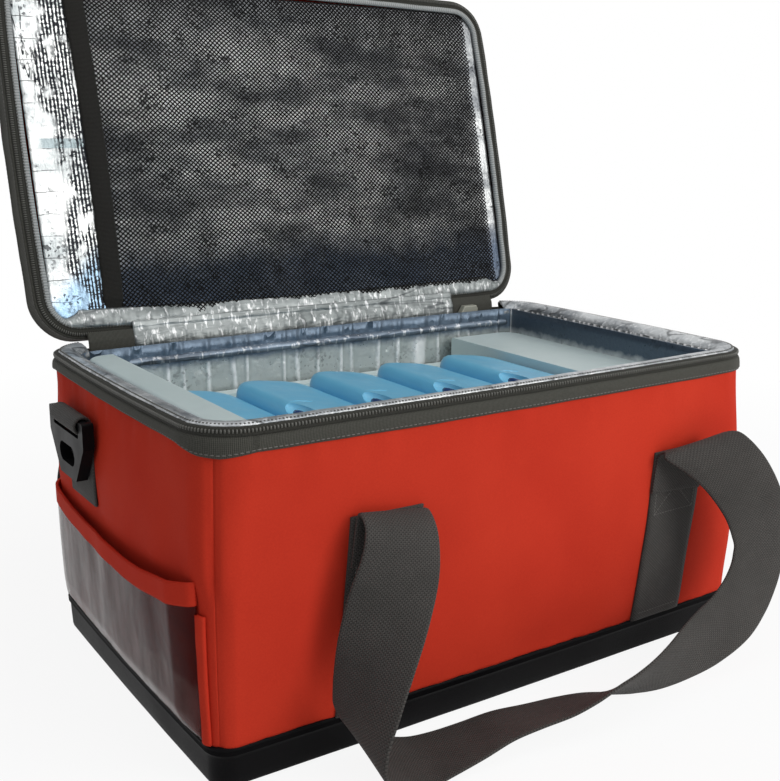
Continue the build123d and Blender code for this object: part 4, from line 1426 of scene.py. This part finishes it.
def pack_plug(i):
    """The filler plug lying in the notch, with its forked tail."""
    section = (
        (-61.5, 3.4), (-60.0, 3.3), (-57.0, 1.6), (-54.5, 1.3), (-52.0, 2.4), (-48.0, 3.0), (-44.0, 3.1),
        (-40.0, 3.0), (-36.0, 2.3), (-34.5, 0.6),
    )
    across, rise = np.cos(circle(16)), 0.85 * np.sin(circle(16))
    rings = [pack_place(i, 3.6 + r * across, y, -4.1 + r * rise) for y, r in section]
    add_pack_part("ice_pack_plug", i, rings, "cap", (f"ice_pack_cap_{i + 1}",))


def pack_ridge(i):
    """A thin moulded line that curves away from the notch across the top."""
    t = np.linspace(0, 1, 26)
    e, y = 1.5 + 24.0 * t, -21.0 + 5.0 * np.sin(np.pi * t * 0.75) - 1.5 * t
    n = np.interp(e, [0, 3, 7, 12, 40], [-6.0, -2.2, -0.5, 0.0, 0.0])
    side, rise = 0.6 * np.cos(circle(8)), 0.45 * np.sin(circle(8))
    rings = [pack_place(i, ee, yy + side, nn + rise) for ee, yy, nn in zip(e, y, n)]
    add_pack_part("ice_pack_ridge", i, rings, "blue")


for number in range(5):
    pack(number)
    pack_plug(number)
    pack_ridge(number)

# CAD nodes that stay get their finish here

FINISHES = {
    "inner_box": "white", "pack_tray": "white", "left_ring": "black_plastic",
    "right_ring": "black_plastic", "zip_slider": "slider",
}
for node, mat in FINISHES.items():
    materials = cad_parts[node].data.materials
    materials.clear()
    materials.append(MAT[mat])

# Floor, backdrop light and lamps


def seen_share(tree):
    """1 for rays from the camera, a mirror or clear sheet, 0 for the rest."""
    path = tree.nodes.new("ShaderNodeLightPath").outputs
    first, second = (tree.nodes.new("ShaderNodeMath") for _ in range(2))
    first.operation = second.operation = "MAXIMUM"
    for socket, ray in ((second.inputs[0], "Is Glossy Ray"), (second.inputs[1], "Is Transmission Ray")):
        tree.links.new(path[ray], socket)
    tree.links.new(path["Is Camera Ray"], first.inputs[0])
    tree.links.new(second.outputs[0], first.inputs[1])
    return first.outputs[0]


def make_world():
    """A background that is white where it is seen, and plain soft light to the rest."""
    world = bpy.data.worlds.new("studio")
    bpy.context.scene.world = world
    world.use_nodes = True
    tree = world.node_tree
    tree.nodes.clear()
    mix = tree.nodes.new("ShaderNodeMixShader")
    tree.links.new(seen_share(tree), mix.inputs[0])
    for place, color, strength in ((1, (0.95, 0.97, 1.0, 1), 0.27), (2, (1, 1, 1, 1), 1.0)):
        light = tree.nodes.new("ShaderNodeBackground")
        light.inputs["Color"].default_value = color
        light.inputs["Strength"].default_value = strength
        tree.links.new(light.outputs[0], mix.inputs[place])
    out = tree.nodes.new("ShaderNodeOutputWorld")
    tree.links.new(mix.outputs[0], out.inputs[0])


make_world()


def make_floor():
    """A white floor that takes soft shadows and fades into the background."""
    mesh = bpy.data.meshes.new("floor")
    s = 30.0
    mesh.from_pydata([(-s, -s, 0), (s, -s, 0), (s, s, 0), (-s, s, 0)], [], [(0, 1, 2, 3)])
    floor = bpy.data.objects.new("floor", mesh)
    bpy.context.scene.collection.objects.link(floor)
    g = Graph("floor")
    g.set(color=(0.9, 0.9, 0.9), rough=0.9)
    away = g.add("VectorMath", {0: g.place}, operation="LENGTH").outputs["Value"]
    share = g.times(seen_share(g.tree), g.ramp(away, 0.35, 1.1, 0.90, 1.0))
    glow = g.add("Emission", {"Color": (1, 1, 1, 1), "Strength": 1.0}).outputs[0]
    mix = g.add("MixShader", {0: share, 1: g.bsdf.outputs[0], 2: glow})
    g.put(g.tree.nodes["Material Output"].inputs["Surface"], mix.outputs[0])
    mesh.materials.append(g.mat)


make_floor()


def lamp(name, at, to, size, power, color=(1, 1, 1)):
    data = bpy.data.lights.new(name, "AREA")
    data.shape = "RECTANGLE"
    data.size, data.size_y = size
    data.energy = power
    data.color = color
    light = bpy.data.objects.new(name, data)
    light.location = at
    light.rotation_mode = "QUATERNION"
    light.rotation_quaternion = (Vector(to) - Vector(at)).to_track_quat("-Z", "Y")
    bpy.context.scene.collection.objects.link(light)


lamp("key", (0.9, -1.9, 1.5), (0.05, 0, 0.15), (1.6, 1.2), 19, (1.0, 0.98, 0.95))
lamp("near", (0.42, -1.0, 0.42), (0.06, -0.15, 0.12), (0.45, 0.35), 2.6, (1.0, 0.98, 0.95))
lamp("top", (-0.1, -0.3, 2.0), (0, 0.05, 0.2), (1.8, 1.4), 9)
lamp("left_fill", (-2.0, -0.6, 0.9), (-0.2, 0, 0.15), (1.0, 1.2), 0.8, (0.95, 0.97, 1.0))
